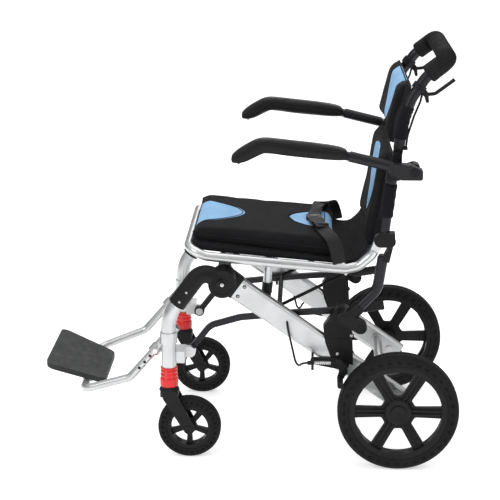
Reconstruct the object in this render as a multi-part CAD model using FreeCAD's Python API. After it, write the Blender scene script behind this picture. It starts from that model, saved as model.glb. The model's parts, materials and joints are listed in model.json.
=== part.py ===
import FreeCAD, Part
import math
import os

# Folding attendant wheelchair. Millimetres, +Z up, +X to the chair's left side, the front towards -Y.
# While it is built the origin is on the floor under the rear axle; the last step moves it under the middle.

V = FreeCAD.Vector

# Driving dimensions
SIDE = 198.0            # middle of the chair to the axis of a seat side tube
LINK_RUN = 361.0        # fore and aft distance from the front fold pivot to the rear one
LINK_RISE = 104.0       # height of the rear fold pivot over the front one
REAR_R = 140.0          # rear tyre outer radius
REAR_W = 44.0           # rear tyre width
CASTER_R = 74.0         # caster tyre outer radius
CASTER_W = 32.0         # caster tyre width
TRAIL = 47.0            # caster axle behind its swivel axis
LEG_R = 17.0            # front leg tube outer radius
BEAM_DEPTH = 56.0       # rear beam section depth
BEAM_W = 22.0           # rear beam section width
SEAT_R = 11.0           # seat tube outer radius
BACK_R = 12.5           # back tube outer radius
WALL = 2.0              # tube wall
PAD_T = 30.0            # back pad thickness
PLATE_TILT = 20.7       # footplate slope, degrees
FIT = 0.05              # radial running clearance of a pivot

# The side view is laid out for this link run and rise; the groups move apart when those two change.
RUN_0 = 361.0
RISE_0 = 104.0

# Planes across the chair
CASTER_X = SIDE + 12.0
BEAM_X = SIDE - 27.0
LINK_X = SIDE - 51.0
HANGER_X = SIDE - 23.0
WHEEL_X = SIDE + 64.0
ARM_X = SIDE + 61.0
STRUT_X = SIDE - 63.0
LATCH_X = SIDE - 76.0
LUG_X = SIDE - 92.0


def fore(y, z):
    """A side view point of the front group."""
    return (y + RUN_0 - LINK_RUN, z)


def aft(y, z):
    """A side view point of the back frame group."""
    return (y, z + LINK_RISE - RISE_0)


P1 = fore(-407.0, 427.0)                          # front fold pivot: seat frame and rear beams
P2 = fore(-487.0, 242.0)                          # front pivot of the link bars
P3 = (P2[0] + LINK_RUN, P2[1] + LINK_RISE)        # rear pivot of the link bars
P4 = (P1[0] + LINK_RUN, P1[1] + LINK_RISE)        # seat frame to back frame
P5 = aft(22.0, 703.0)                             # armrest pivot
P6 = aft(-14.0, 727.0)                            # upper back hinge
P7 = fore(-531.0, 294.0)                          # footrest hanger pivot
HUB = (0.0, REAR_R)
SWIVEL_Y = fore(-533.0, 0.0)[0]
CASTER_HUB = (SWIVEL_Y + TRAIL, CASTER_R)
CROWN_Z = 2 * CASTER_R + 4.0                      # underside of the fork crown
BOOT_Z = CROWN_Z + 23.0                           # underside of the boot
PLATE_AXIS = fore(-745.0, 139.0)                  # footplate cross tube
BRAKE_PIVOT = (-126.0, 224.0 + 0.35 * (REAR_R - 140.0))
LATCH_PIVOT = aft(-122.0, 427.0)
LEVER_PIVOT = aft(47.5, 863.0)
HANGER_DIR = (-0.653, -0.757)                     # down the footrest hanger


def at(x, p):
    return V(x, p[0], p[1])


def unit(v):
    return v * (1.0 / v.Length)


def toward(p, q, d):
    """The point at distance d from p on the line to q."""
    start = V(*p)
    end = start + unit(V(*q) - start) * d
    return (end.x, end.y, end.z)


def rod(p, q, r):
    p = V(*p)
    q = V(*q)
    return Part.makeCylinder(r, (q - p).Length, p, q - p)


def xrod(p, x0, x1, r):
    """Round bar along X through the side view point p."""
    return Part.makeCylinder(r, x1 - x0, at(x0, p), V(1, 0, 0))


def box(x0, x1, y0, y1, z0, z1):
    return Part.makeBox(x1 - x0, y1 - y0, z1 - z0, V(x0, y0, z0))


def xplate(points, x0, x1):
    """Side view outline given a thickness across the chair."""
    corners = [at(x0, p) for p in points]
    return Part.Face(Part.makePolygon(corners + [corners[0]])).extrude(V(x1 - x0, 0, 0))


def xbar(p, q, r, x0, x1, r2=None):
    """Plate with round ends, radius r at p and r2 at q."""
    r2 = r if r2 is None else r2
    along = unit(at(0, q) - at(0, p))
    side = V(1, 0, 0).cross(along)
    a = at(x0, p)
    b = at(x0, q)
    corners = [a + side * r, b + side * r2, b - side * r2, a - side * r]
    slab = Part.Face(Part.makePolygon(corners + [corners[0]])).extrude(V(x1 - x0, 0, 0))
    return join([slab, xrod(p, x0, x1, r), xrod(q, x0, x1, r2)])


def join(shapes):
    return shapes[0].multiFuse(shapes[1:]).removeSplitter()


def round_face(r):
    def make(origin, along):
        return Part.Face(Part.Wire(Part.makeCircle(r, origin, along)))
    return make


def flat_face(depth, width):
    def make(origin, along):
        up = V(1, 0, 0).cross(along) * (depth / 2)
        out = V(width / 2, 0, 0)
        corners = [origin - up - out, origin + up - out, origin + up + out, origin - up + out]
        return Part.Face(Part.makePolygon(corners + [corners[0]]))
    return make


def sweep(points, bends, section):
    """Straight runs joined by tangent arcs, one bend radius per inner point."""
    pts = [V(*p) for p in points]
    pieces = []
    here = pts[0]
    for i in range(1, len(pts)):
        run = unit(pts[i] - pts[i - 1])
        last = i == len(pts) - 1
        stop = pts[i]
        if not last:
            onward = unit(pts[i + 1] - pts[i])
            angle = run.getAngle(onward)
            back = bends[i - 1] * math.tan(angle / 2)
            stop = pts[i] - run * back
        pieces.append(section(here, run).extrude(stop - here))
        if not last:
            normal = unit(run.cross(onward))
            centre = stop + normal.cross(run) * bends[i - 1]
            pieces.append(section(stop, run).revolve(centre, normal, math.degrees(angle)))
            here = pts[i] + onward * back
    return join(pieces)


def pipe(points, bends, r, wall=WALL):
    return sweep(points, bends, round_face(r)).cut(sweep(points, bends, round_face(r - wall)))


def flip(shape):
    """The same piece on the other side of the chair."""
    return shape.mirror(V(0, 0, 0), V(1, 0, 0))


def pair(shape):
    return Part.makeCompound([shape, flip(shape)])


def turned(profile):
    """Solid of revolution about X from (x, radius) corners."""
    corners = [V(x, 0, r) for x, r in profile]
    return Part.Face(Part.makePolygon(corners + [corners[0]])).revolve(V(0, 0, 0), V(1, 0, 0), 360)


def round_rims(shape, radius, fillet):
    """Fillets the circular edges that lie at one radius from the X axis."""
    edges = []
    for edge in shape.Edges:
        curve = edge.Curve
        if hasattr(curve, "Radius") and abs(curve.Radius - radius) < 0.01:
            edges.append(edge)
    return shape.makeFillet(fillet, edges)


def hanger_point(t, x=HANGER_X):
    """A point t along the footrest hanger from its pivot."""
    return (x, P7[0] + HANGER_DIR[0] * t, P7[1] + HANGER_DIR[1] * t)


# ---------------------------------------------------------------- front frame

def leg_path():
    return [(CASTER_X, SWIVEL_Y, BOOT_Z + 7.0),
            (CASTER_X,) + fore(-533.0, 347.0),
            (CASTER_X,) + fore(-493.5, 402.0)]


def leg_solid():
    return sweep(leg_path(), [90.0], round_face(LEG_R))


def front_leg():
    leg = leg_solid().cut(sweep(leg_path(), [90.0], round_face(LEG_R - WALL)))
    plug = rod((CASTER_X, SWIVEL_Y, BOOT_Z + 7), (CASTER_X, SWIVEL_Y, BOOT_Z + 63), LEG_R - WALL)
    leg = leg.fuse(plug).removeSplitter()
    leg = leg.cut(stem_bore())
    return leg.cut(xrod(P7, HANGER_X, CASTER_X, 6.0 + FIT)).cut(front_fastener_set())


def stem_bore():
    """Room for the fork stem and its snap ring."""
    bore = rod((CASTER_X, SWIVEL_Y, BOOT_Z - 1), (CASTER_X, SWIVEL_Y, BOOT_Z + 62), 6.0 + FIT)
    groove = rod((CASTER_X, SWIVEL_Y, BOOT_Z + 49.9), (CASTER_X, SWIVEL_Y, BOOT_Z + 53.1), 8.0 + FIT)
    return bore.fuse(groove)


def elbow():
    arm = sweep([(CASTER_X,) + fore(-513.0, 375.0),
                 (CASTER_X,) + fore(-452.0, 459.0),
                 (CASTER_X,) + fore(-412.0, 431.0)], [30.0], round_face(LEG_R + 4.0))
    disc = xrod(P1, CASTER_X - 24, CASTER_X + 16, 32.0)
    body = join([arm, disc])
    dish = xrod(P1, CASTER_X + 14, CASTER_X + 22, 25.0).cut(xrod(P1, CASTER_X + 10, CASTER_X + 22, 13.0))
    body = body.cut(dish)
    body = body.cut(leg_solid())
    body = body.cut(xrod(P1, CASTER_X - 30, CASTER_X - 4, 8.0))
    return body.cut(front_fastener_set())


def elbow_screw_points():
    return [fore(-505.0, 386.0), fore(-488.5, 409.0)]


def front_fastener_set():
    """Two clamp screws in each elbow and the screw that holds the pivot stub."""
    screws = []
    for p in elbow_screw_points():
        screws.append(xrod(p, CASTER_X + 14.0, CASTER_X + 22.0, 2.5))
        screws.append(xrod(p, CASTER_X + 17.5, CASTER_X + 23.0, 4.5))
    screws.append(xrod(P1, CASTER_X - 4.0, CASTER_X + 17.0, 4.0))
    screws.append(xrod(P1, CASTER_X + 16.0, CASTER_X + 19.5, 7.5))
    return Part.makeCompound([join(screws[0:2]), join(screws[2:4]), join(screws[4:6])])


def boot():
    """Ribbed bearing cup at the foot of a leg."""
    shell = rod((CASTER_X, SWIVEL_Y, BOOT_Z), (CASTER_X, SWIVEL_Y, BOOT_Z + 47), LEG_R + 2.8)
    ribs = [shell]
    for i in range(6):
        z = BOOT_Z + 1.0 + 8.0 * i
        ribs.append(rod((CASTER_X, SWIVEL_Y, z), (CASTER_X, SWIVEL_Y, z + 5.0), LEG_R + 4.5))
    return join(ribs).cut(leg_solid()).cut(stem_bore())


def link_bracket():
    """Block on the leg, plate and pin for the link bar."""
    y, z = P2
    block = box(LINK_X + 7, CASTER_X - 2, y - 34, y - 10, z - 13, z + 15)
    plate = xbar(P2, (y - 22, z + 1), 13.0, LINK_X + 7, LINK_X + 21)
    body = join([block, plate]).cut(leg_solid())
    pin = xrod(P2, LINK_X - 6, LINK_X + 8, 5.0)
    head = xrod(P2, LINK_X - 9, LINK_X - 5.5, 9.0)
    return join([body, pin, head])


def main_cross_tube():
    """Tube between the elbows; the seat lugs and the rear beams turn on it."""
    end = LINK_X + 9
    tube = xrod(P1, -end, end, 12.0).cut(xrod(P1, -end + 20, end - 20, 9.5))
    stub = xrod(P1, end - 1, CASTER_X - 4, 8.0)
    return join([tube, stub, flip(stub)])


def hanger_collar():
    """Ring on the leg that backs the hanger pivot."""
    ring = rod((CASTER_X, SWIVEL_Y, P7[1] - 13), (CASTER_X, SWIVEL_Y, P7[1] + 13), LEG_R + 3.0)
    return ring.cut(leg_solid()).cut(xrod(P7, HANGER_X, CASTER_X, 6.0 + FIT))


# ---------------------------------------------------------------- footrest

def hanger_bore():
    return rod(hanger_point(-30), hanger_point(80), 9.5 + FIT)


def hanger():
    """Outer sleeve with its clip collar, hung on a rivet through the leg wall."""
    sleeve = rod(hanger_point(-20), hanger_point(62), 12.0)
    clip = rod(hanger_point(46), hanger_point(64), 14.5)
    boss = xrod(P7, HANGER_X, CASTER_X - LEG_R - 3.3, 10.0)
    inside = CASTER_X - math.sqrt((LEG_R - WALL) ** 2 - 10.2 ** 2) + 0.3
    rivet = xrod(P7, CASTER_X - LEG_R - 4, inside + 3, 6.0)
    head = xrod(P7, inside, inside + 3, 8.0)
    body = join([sleeve, clip, boss, rivet, head]).cut(hanger_bore())
    x, y, z = hanger_point(55)
    return body.cut(xrod((y, z), x, x + 20, 3.5 + FIT))


def height_button():
    """Spring pin in the clip collar, pulled outwards to free the inner tube."""
    x, y, z = hanger_point(55)
    pin = xrod((y, z), x + 9.8, x + 17.0, 3.5)
    knob = xrod((y, z), x + 15.0, x + 18.5, 6.0)
    return join([pin, knob])


def footrest_frame():
    """Two inner tubes bent in to the cross tube under the footplate."""
    half = [hanger_point(-15),
            (HANGER_X,) + fore(-630.0, 179.2),
            (HANGER_X - 23,) + PLATE_AXIS,
            (0.0,) + PLATE_AXIS]
    left = pipe(half, [30.0, 28.0], 9.5, 1.8)
    for t in (75, 95, 115):
        x, y, z = hanger_point(t)
        left = left.cut(xrod((y, z), x, x + 20, 3.6))
    return join([left, flip(left)])


def footplate():
    """Tapered tread plate with its hinge lugs round the cross tube."""
    y0, z0 = PLATE_AXIS
    rise = math.tan(math.radians(PLATE_TILT))
    front = y0 - 93.0
    rear = y0 + 45.0
    top_axis = z0 + 24.0
    section = [(front, top_axis + 93 * rise), (rear, top_axis - 45 * rise),
               (rear, top_axis - 45 * rise - 13.5), (front, top_axis + 93 * rise - 13.5)]
    slab = xplate(section, -140, 140)
    plan = [V(-130, front, 0), V(130, front, 0), V(98, rear, 0), V(-98, rear, 0)]
    blank = Part.Face(Part.makePolygon(plan + [plan[0]])).extrude(V(0, 0, 400))
    uprights = []
    for edge in blank.Edges:
        if abs(edge.BoundBox.ZLength - 400) < 0.1:
            uprights.append(edge)
    slab = slab.common(blank.makeFillet(16.0, uprights))
    lugs = [slab]
    for x in (-70.0, 40.0):
        lugs.append(xbar(PLATE_AXIS, (y0, z0 + 8), 13.5, x, x + 30))
    body = join(lugs)
    return body.cut(xrod(PLATE_AXIS, -150, 150, 9.5 + FIT))


# ---------------------------------------------------------------- casters

def window(r0, r1, half0, half1, x0, x1, fillet):
    """Opening between two spokes, centred on +Z."""
    plan = [V(x0, -half0, r0), V(x0, half0, r0), V(x0, half1, r1), V(x0, -half1, r1)]
    hole = Part.Face(Part.makePolygon(plan + [plan[0]])).extrude(V(x1 - x0, 0, 0))
    edges = []
    for edge in hole.Edges:
        if abs(edge.BoundBox.XLength - (x1 - x0)) < 0.01:
            edges.append(edge)
    return hole.makeFillet(fillet, edges)


def turn_x(shape, degrees):
    copy = shape.copy()
    copy.rotate(V(0, 0, 0), V(1, 0, 0), degrees)
    return copy


def fork():
    x, y = CASTER_X, SWIVEL_Y
    inner = CASTER_W / 2 + 3.0
    outer = inner + 5.0
    top = CROWN_Z + 22.0
    crown = box(x - outer, x + outer, y - 20, y + 22, CROWN_Z, CROWN_Z + 13)
    crown = crown.common(rod((x, y, CROWN_Z - 1), (x, y, CROWN_Z + 14), 27.0))
    neck = Part.makeCone(24.0, 20.0, top - CROWN_Z - 13, V(x, y, CROWN_Z + 13))
    stem = rod((x, y, CROWN_Z), (x, y, BOOT_Z + 61), 6.0)
    snap = rod((x, y, BOOT_Z + 50), (x, y, BOOT_Z + 53), 8.0)
    parts = [crown, neck, stem, snap]
    mid = (y + 3.0, CROWN_Z + 2)
    for x0 in (x - outer, x + inner):
        parts.append(xbar(mid, CASTER_HUB, 17.0, x0, x0 + 5.0, 13.0))
    parts.append(xrod(CASTER_HUB, x - outer - 1.3, x + outer + 2.0, 4.0))
    parts.append(xrod(CASTER_HUB, x + outer, x + outer + 2.0, 7.5))
    parts.append(xrod(CASTER_HUB, x - outer - 1.3, x - outer, 7.5))
    body = join(parts)
    return body.common(rod((x, y + 20, 0), (x, y + 20, 400), 90.0))


def caster_rim():
    r = CASTER_R - 22.0
    hw = CASTER_W / 2
    barrel = turned([(-hw + 2, r - 8), (hw - 2, r - 8), (hw - 2, r), (-hw + 2, r)])
    web = turned([(-5, 10), (5, 10), (5, r - 7), (-5, r - 7)])
    hub = turned([(-hw - 2.5, 4 + FIT), (hw + 2.5, 4 + FIT), (hw + 2.5, 11.5), (-hw - 2.5, 11.5)])
    for i in range(5):
        web = web.cut(turn_x(window(17, r - 9, 5.5, 0.42 * r, -8, 8, 4.0), 72 * i))
    rim = join([barrel, web, hub])
    rim.translate(at(CASTER_X, CASTER_HUB))
    return rim


def tyre(radius, width, inner, fillet):
    hw = width / 2
    body = turned([(-hw + 2, inner), (hw - 2, inner), (hw, inner + 5), (hw, radius), (-hw, radius), (-hw, inner + 5)])
    return round_rims(body, radius, fillet)


def caster_tyre():
    body = tyre(CASTER_R, CASTER_W, CASTER_R - 22.0, 9.0)
    body.translate(at(CASTER_X, CASTER_HUB))
    return body


# ---------------------------------------------------------------- rear beams

BEAM_DIR = unit(at(0, HUB) - at(0, P1))
BEAM_UP = V(1, 0, 0).cross(BEAM_DIR)
BEAM_LEN = (at(0, HUB) - at(0, P1)).Length


def beam_point(s, h=0.0):
    p = at(0, P1) + BEAM_DIR * s + BEAM_UP * h
    return (p.y, p.z)


def beam_bar(s0, s1, depth, width, fillet):
    """Flat-oval bar along the beam axis."""
    corners = []
    for h, w in ((-1, -1), (1, -1), (1, 1), (-1, 1)):
        y, z = beam_point(s0, h * depth / 2)
        corners.append(V(BEAM_X + w * width / 2, y, z))
    bar = Part.Face(Part.makePolygon(corners + [corners[0]])).extrude(BEAM_DIR * (s1 - s0))
    edges = []
    for edge in bar.Edges:
        if abs(edge.Length - (s1 - s0)) < 0.01:
            edges.append(edge)
    return bar.makeFillet(fillet, edges)


def beam_solid():
    return beam_bar(40.0, BEAM_LEN + 27.0, BEAM_DEPTH, BEAM_W, 9.0)


def beam():
    body = beam_solid()
    body = body.cut(beam_bar(39.0, BEAM_LEN - 60.0, BEAM_DEPTH - 6, BEAM_W - 6, 6.0))
    for s, h in ((BEAM_LEN + 14, 14), (BEAM_LEN + 14, -14), (BEAM_LEN - 16, 15), (BEAM_LEN - 16, -15)):
        body = body.cut(xrod(beam_point(s, h), BEAM_X + BEAM_W / 2 - 5, BEAM_X + BEAM_W, 3.0))
    body = body.cut(xrod(HUB, BEAM_X - 30, BEAM_X + 30, 6.0))
    body = body.cut(xrod(BRAKE_PIVOT, BEAM_X - 30, BEAM_X + 30, 5.0))
    return body.cut(beam_fastener_set()).cut(lower_brake_cable())


def beam_hinge():
    """Casting from the fold pivot to the front of a beam, with a spigot inside the beam."""
    x0 = BEAM_X - 13.0
    x1 = BEAM_X + 13.0
    disc = xrod(P1, x0, x1, 30.0)
    outline = [beam_point(0, 29.5), beam_point(40, 28), beam_point(40, -28), beam_point(0, -29.5)]
    arm = xplate(outline, x0 + 2, x1 - 2)
    spigot = beam_bar(38.0, 62.0, BEAM_DEPTH - 6, BEAM_W - 6, 6.0)
    body = join([disc, arm, spigot])
    body = body.cut(xrod(P1, x1 - 2.5, x1 + 1, 22.0).cut(xrod(P1, x0, x1 + 1, 14.0)))
    return body.cut(xrod(P1, x0 - 1, x1 + 1, 8.0 + FIT)).cut(beam_fastener_set())


def beam_fastener_set():
    """Two screws through each hinge spigot and one through the upright."""
    out = BEAM_X + BEAM_W / 2
    screws = []
    for h in (-14.0, 14.0):
        p = beam_point(51.0, h)
        screws.append(join([xrod(p, BEAM_X, out + 1, 2.5), xrod(p, out, out + 2.0, 4.5)]))
    p = upright_bolt()
    screws.append(join([xrod(p, out - 6, out + 3, 3.5), xrod(p, out + 2.5, out + 4.2, 6.5)]))
    knob = upright_knob()
    screws.append(xrod(knob, out - 4, out + 4.2, 6.0))
    return Part.makeCompound(screws)


def upright_bolt():
    return beam_point(0.645 * BEAM_LEN, 8.0)


def upright_knob():
    return (P3[0] + 18.0, P3[1] - 52.0)


def beam_upright():
    """Casting saddled on a beam; its top stands beside the back frame's lower lug."""
    y, z = P3
    foot = z - 108.0
    outline = [(y - 48, z - 32), (y - 15, z + 17), (y + 2, z + 15), (y + 17, z - 2), (y + 22, z - 81),
               (y + 23, foot - 17), (y - 29, foot), (y - 43, z - 69)]
    body = xplate(outline, BEAM_X - 13.5, BEAM_X + 13.5)
    body = body.cut(beam_solid())
    relief = [(y - 36, z - 34), (y - 12, z + 3), (y + 8, z - 4), (y + 10, z - 60), (y - 30, z - 62)]
    body = body.cut(xplate(relief, BEAM_X + 11.5, BEAM_X + 20))
    body = body.cut(xrod(BRAKE_PIVOT, BEAM_X - 30, BEAM_X + 30, 5.0))
    return body.cut(beam_fastener_set())


def rear_cross_tube():
    p = beam_point(BEAM_LEN - 39.0, 2.0)
    end = BEAM_X - BEAM_W / 2
    tube = xrod(p, -end, end, 12.0).cut(xrod(p, -end - 1, end + 1, 10.0))
    flange = xrod(p, end - 4, end, 17.0).cut(xrod(p, end - 5, end + 1, 10.0))
    return join([tube, flange, flip(flange)])


def rear_axle():
    """Axle pin, the spacer between beam and hub, and the nut under the hub cap."""
    out = BEAM_X + BEAM_W / 2
    pin = xrod(HUB, BEAM_X - 14, WHEEL_X + 14, 6.0)
    head = xrod(HUB, BEAM_X - 15, BEAM_X - BEAM_W / 2, 9.0)
    spacer = xrod(HUB, out, WHEEL_X - 22.5, 10.0)
    nut = xrod(HUB, WHEEL_X + 10, WHEEL_X + 15, 9.0)
    return join([pin, head, spacer, nut])


def brake_bracket():
    """Carrier plate on the beam with the cable stop and the arm's pivot pin."""
    out = BEAM_X + 13.5
    y, z = BRAKE_PIVOT
    plate = xbar((y, z), (y - 68, z + 8), 14.0, out, out + 4.0, 9.0)
    pin = xrod(BRAKE_PIVOT, BEAM_X - 14, WHEEL_X - 26, 5.0)
    sleeve = xrod(BRAKE_PIVOT, out, WHEEL_X - 36.5, 8.5)
    stop = box(out, WHEEL_X - 27, y - 75, y - 69, z + 2, z + 28)
    nut = xrod(BRAKE_PIVOT, BEAM_X - 17.5, BEAM_X - 13.5, 7.0)
    cup = rod((WHEEL_X - 31, y - 84, z + 18.5), (WHEEL_X - 31, y - 68, z + 19), 5.0)
    body = join([plate, pin, sleeve, stop, nut, cup])
    body = body.cut(rod((WHEEL_X - 31, y - 90, z + 18.5), (WHEEL_X - 31, y - 60, z + 19), 2.7))
    return body.cut(lower_brake_cable())


def brake_arm():
    """Lever on the pivot pin; its bar presses the tread of the tyre."""
    x0 = WHEEL_X - 35.5
    x1 = WHEEL_X - 26.5
    y, z = BRAKE_PIVOT
    upper = xbar(BRAKE_PIVOT, (y - 12, z + 23), 9.5, x0, x1, 6.0)
    reach = REAR_R + 9.5
    slope = math.radians(153.8)
    shoe_at = (HUB[0] + reach * math.cos(slope), HUB[1] + reach * math.sin(slope))
    lower = xbar(BRAKE_PIVOT, shoe_at, 9.5, x0, x1, 7.0)
    shoe = xrod(shoe_at, x0, WHEEL_X + 20, 7.0)
    grooves = []
    for i in range(6):
        x = WHEEL_X - 18 + 6.0 * i
        grooves.append(xrod(shoe_at, x, x + 2, 8.0).cut(xrod(shoe_at, x - 1, x + 3, 6.0)))
    shoe = shoe.cut(Part.makeCompound(grooves))
    wire = rod((WHEEL_X - 31, y - 24, z + 20), (WHEEL_X - 31, y - 15, z + 21), 1.2)
    body = join([upper, lower, shoe, wire])
    return body.cut(xrod(BRAKE_PIVOT, x0 - 1, x1 + 1, 5.0 + FIT))


def brake_spring():
    """Coil between the cable stop and the arm."""
    y, z = BRAKE_PIVOT
    core = rod((WHEEL_X - 31, y - 68, z + 19), (WHEEL_X - 31, y - 30, z + 19.5), 2.6)
    coils = [core]
    for i in range(9):
        coils.append(Part.makeTorus(3.4, 1.2, V(WHEEL_X - 31, y - 66 + 4.3 * i, z + 19), V(0, 1, 0)))
    return join(coils)


def lower_brake_cable():
    """Sheathed cable that leaves the beam and enters the cable stop from the front."""
    y, z = BRAKE_PIVOT
    x = BEAM_X + BEAM_W / 2
    exit_y, exit_z = beam_point(0.352 * BEAM_LEN, 8.0)
    points = [(x - 8, exit_y, exit_z),
              (x + 13, exit_y + 3, exit_z - 20),
              (x + 26, y - 108, z - 4),
              (WHEEL_X - 31, y - 96, z + 17.7),
              (WHEEL_X - 31, y - 69, z + 18.9)]
    return sweep(points, [16.0, 14.0, 14.0], round_face(2.5))


# ---------------------------------------------------------------- rear wheels

def rear_rim():
    r = REAR_R - 27.0
    barrel = turned([(-18, r - 9), (18, r - 9), (19.5, r), (-19.5, r)])
    lip = turned([(14, r - 13), (19, r - 13), (20, r - 1), (14, r - 1)])
    web = turned([(2, 20), (9, 20), (12, r - 8), (4, r - 8)])
    hub = turned([(-22, 6 + FIT), (9.5, 6 + FIT), (9.5, 10), (15.5, 10), (15.5, 0.0), (19, 0.0),
                  (21, 17), (17, 18), (17, 29), (12, 33), (2, 33), (2, 23), (-22, 21)])
    for i in range(6):
        web = web.cut(turn_x(window(40, r - 14, 8.5, 0.36 * r, -4, 20, 6.0), 60 * i))
    parts = [barrel, lip, web, hub]
    for i in range(6):
        for y in (-6.5, 3.5):
            parts.append(turn_x(box(6, 14, y, y + 3, 30, r - 10), 60 * i + 30))
    rim = join(parts)
    rim.translate(at(WHEEL_X, HUB))
    return rim


def rear_tyre():
    body = tyre(REAR_R, REAR_W, REAR_R - 27.0, 13.0)
    body.translate(at(WHEEL_X, HUB))
    return body


# ---------------------------------------------------------------- seat frame

def seat_line():
    """Side view points of a seat side tube from the front corner to the rear pivot."""
    return [fore(-487.0, 505.0), fore(-447.0, 487.0), fore(-300.0, 474.0), aft(-124.0, 460.0),
            aft(-95.0, 467.0), aft(-67.0, 492.0), aft(-60.0, 504.0)]


def seat_tube_solid(r):
    line = seat_line()
    points = [(0.0,) + line[0]]
    for p in line:
        points.append((SIDE,) + p)
    half = sweep(points, [34.0, 50.0, 150.0, 40.0, 30.0, 30.0], round_face(r))
    return half


def seat_frame_tube():
    """One bent tube: across the front, back along both sides, up to lugs at the rear pivots."""
    half = seat_tube_solid(SEAT_R).cut(seat_tube_solid(SEAT_R - WALL))
    stop = rod((SIDE,) + aft(-68.5, 490.5), (SIDE,) + aft(-62.0, 500.5), SEAT_R - WALL + 0.5)
    lug = xbar(P4, aft(-64.0, 497.0), 14.0, SIDE - 7, SIDE + 7, 7.5)
    half = join([half, stop, lug]).cut(xrod(P4, SIDE - 20, SIDE + 20, 5.0 + FIT))
    return join([half, flip(half)])


def cross_bar(p, r=8.0):
    """Tube welded between the two side tubes."""
    tube = xrod(p, -SIDE, SIDE, r)
    cutter = seat_tube_solid(SEAT_R)
    return tube.cut(cutter).cut(flip(cutter)).Solids


def middle_solid(solids):
    best = solids[0]
    for s in solids:
        if s.BoundBox.XLength > best.BoundBox.XLength:
            best = s
    return best


def seat_cross_points():
    return [fore(-407.0, 483.4), fore(-301.0, 474.0), aft(-140.0, 461.3)]


def seat_pivot_frame():
    """Three cross tubes, the two lugs on the main cross tube and the latch ears."""
    bars = []
    for p in seat_cross_points():
        bars.append(middle_solid(cross_bar(p)))
    parts = bars
    top = seat_cross_points()[0]
    rear = seat_cross_points()[2]
    for x in (LUG_X, -LUG_X - 12):
        lug = xbar(P1, top, 18.0, x, x + 12, 7.9).cut(xrod(P1, x - 1, x + 13, 12.0 + FIT))
        parts.append(lug)
    for x in (LATCH_X - 9.5, -LATCH_X + 5.5):
        parts.append(xbar(LATCH_PIVOT, rear, 8.0, x, x + 4.0))
    for x in (LATCH_X - 6, -LATCH_X - 5):
        parts.append(xrod(LATCH_PIVOT, x, x + 11, 3.5))
    return join(parts)


def seat_strut():
    """Short post under the seat frame beside a link bar."""
    head = seat_cross_points()[1]
    top = (STRUT_X, head[0] - 0.6, head[1] - 6.5)
    foot = (STRUT_X,) + fore(-308.0, 384.0)
    strut = rod(top, foot, 10.0)
    return strut.cut(xrod(head, 0, SIDE, 8.0))


def strut_foot():
    """Forked foot on the strut."""
    top = (STRUT_X,) + fore(-304.9, 408.0)
    low = (STRUT_X,) + fore(-308.5, 369.0)
    body = rod(top, low, 12.5)
    y, z = fore(-308.5, 369.0)
    body = body.cut(box(STRUT_X - 6, STRUT_X + 6, y - 20, y + 20, z - 5, z + 13))
    return body.cut(seat_strut())


def cushion_outline():
    """Side view of the cushion: bottom rear, bottom front, top front, top rear."""
    return [aft(-141.0, 477.5), fore(-487.0, 520.5), fore(-484.0, 546.0), aft(-141.0, 517.5)]


def seat_sling():
    """Firm sling from the side tubes up to the cushion."""
    low = [fore(-478.0, 503.0), fore(-447.0, 493.0), fore(-300.0, 480.0), aft(-141.0, 468.0)]
    rear, front = cushion_outline()[0], cushion_outline()[1]
    slope = (rear[1] - front[1]) / (rear[0] - front[0])
    high = (low[0][0], front[1] + slope * (low[0][0] - front[0]))
    body = xplate(low + [rear, high], -(SIDE - 5), SIDE - 5)
    cutter = seat_tube_solid(SEAT_R)
    body = body.cut(cutter).cut(flip(cutter))
    for p in seat_cross_points():
        body = body.cut(xrod(p, -SIDE, SIDE, 8.0))
    return middle_solid(body.Solids)


def seat_cushion():
    half = SIDE - 13.0
    block = xplate(cushion_outline(), -half, half)
    return block.makeFillet(7.0, block.Edges)


def belt_hub():
    """Middle of the belt on the top of the cushion."""
    return (-198.0, aft(0, 524.5)[1])


def belt_half():
    """Webbing from the seat side tube over the edge of the cushion to the buckle."""
    y, z = belt_hub()
    turn = 16.0
    over = [(SIDE - 18, z + 5), (SIDE - 6, z - 2), (SIDE + 4, z - 56)]
    under = [(SIDE + 2, z - 56), (SIDE - 8.2, z - 3.5), (SIDE - 19.5, z + 3)]
    corners = [V(16, y - 16, z + 5)]
    for px, pz in over + under:
        corners.append(V(16 + (px - 16) / math.cos(math.radians(turn)), y - 16, pz))
    corners.append(V(16, y - 16, z + 3))
    strap = Part.Face(Part.makePolygon(corners + [corners[0]])).extrude(V(0, 32, 0))
    strap.rotate(V(16, y, 0), V(0, 0, 1), turn)
    cutter = seat_tube_solid(SEAT_R)
    return strap.cut(cutter)


def seat_belt():
    return pair(belt_half())


def belt_buckle():
    y, z = belt_hub()
    body = box(-26, 26, y - 19, y + 19, z + 0.6, z + 11.6)
    body = body.makeFillet(4.0, body.Edges)
    belt = belt_half()
    return body.cut(belt).cut(flip(belt))


def fold_latch():
    """Two arms joined by a grip bar that lies on the link bars' cross rod."""
    y, z = link_cross()
    tip = (y, z + 12.0)
    arm = sweep([(LATCH_X,) + LATCH_PIVOT, (LATCH_X,) + tip, (0.0,) + tip], [12.0], round_face(4.0))
    eye = xrod(LATCH_PIVOT, LATCH_X - 5, LATCH_X + 4.5, 8.0)
    hook = xbar((y - 9, z + 12), (y - 10.5, z - 3), 2.5, LATCH_X - 24, LATCH_X - 18)
    neck = xbar((y, z + 12), (y - 9, z + 12), 2.5, LATCH_X - 24, LATCH_X - 18)
    half = join([arm, eye, neck, hook]).cut(xrod(LATCH_PIVOT, LATCH_X - 8, LATCH_X + 8, 3.5 + FIT))
    return join([half, flip(half)])


# ---------------------------------------------------------------- link bars

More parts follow.
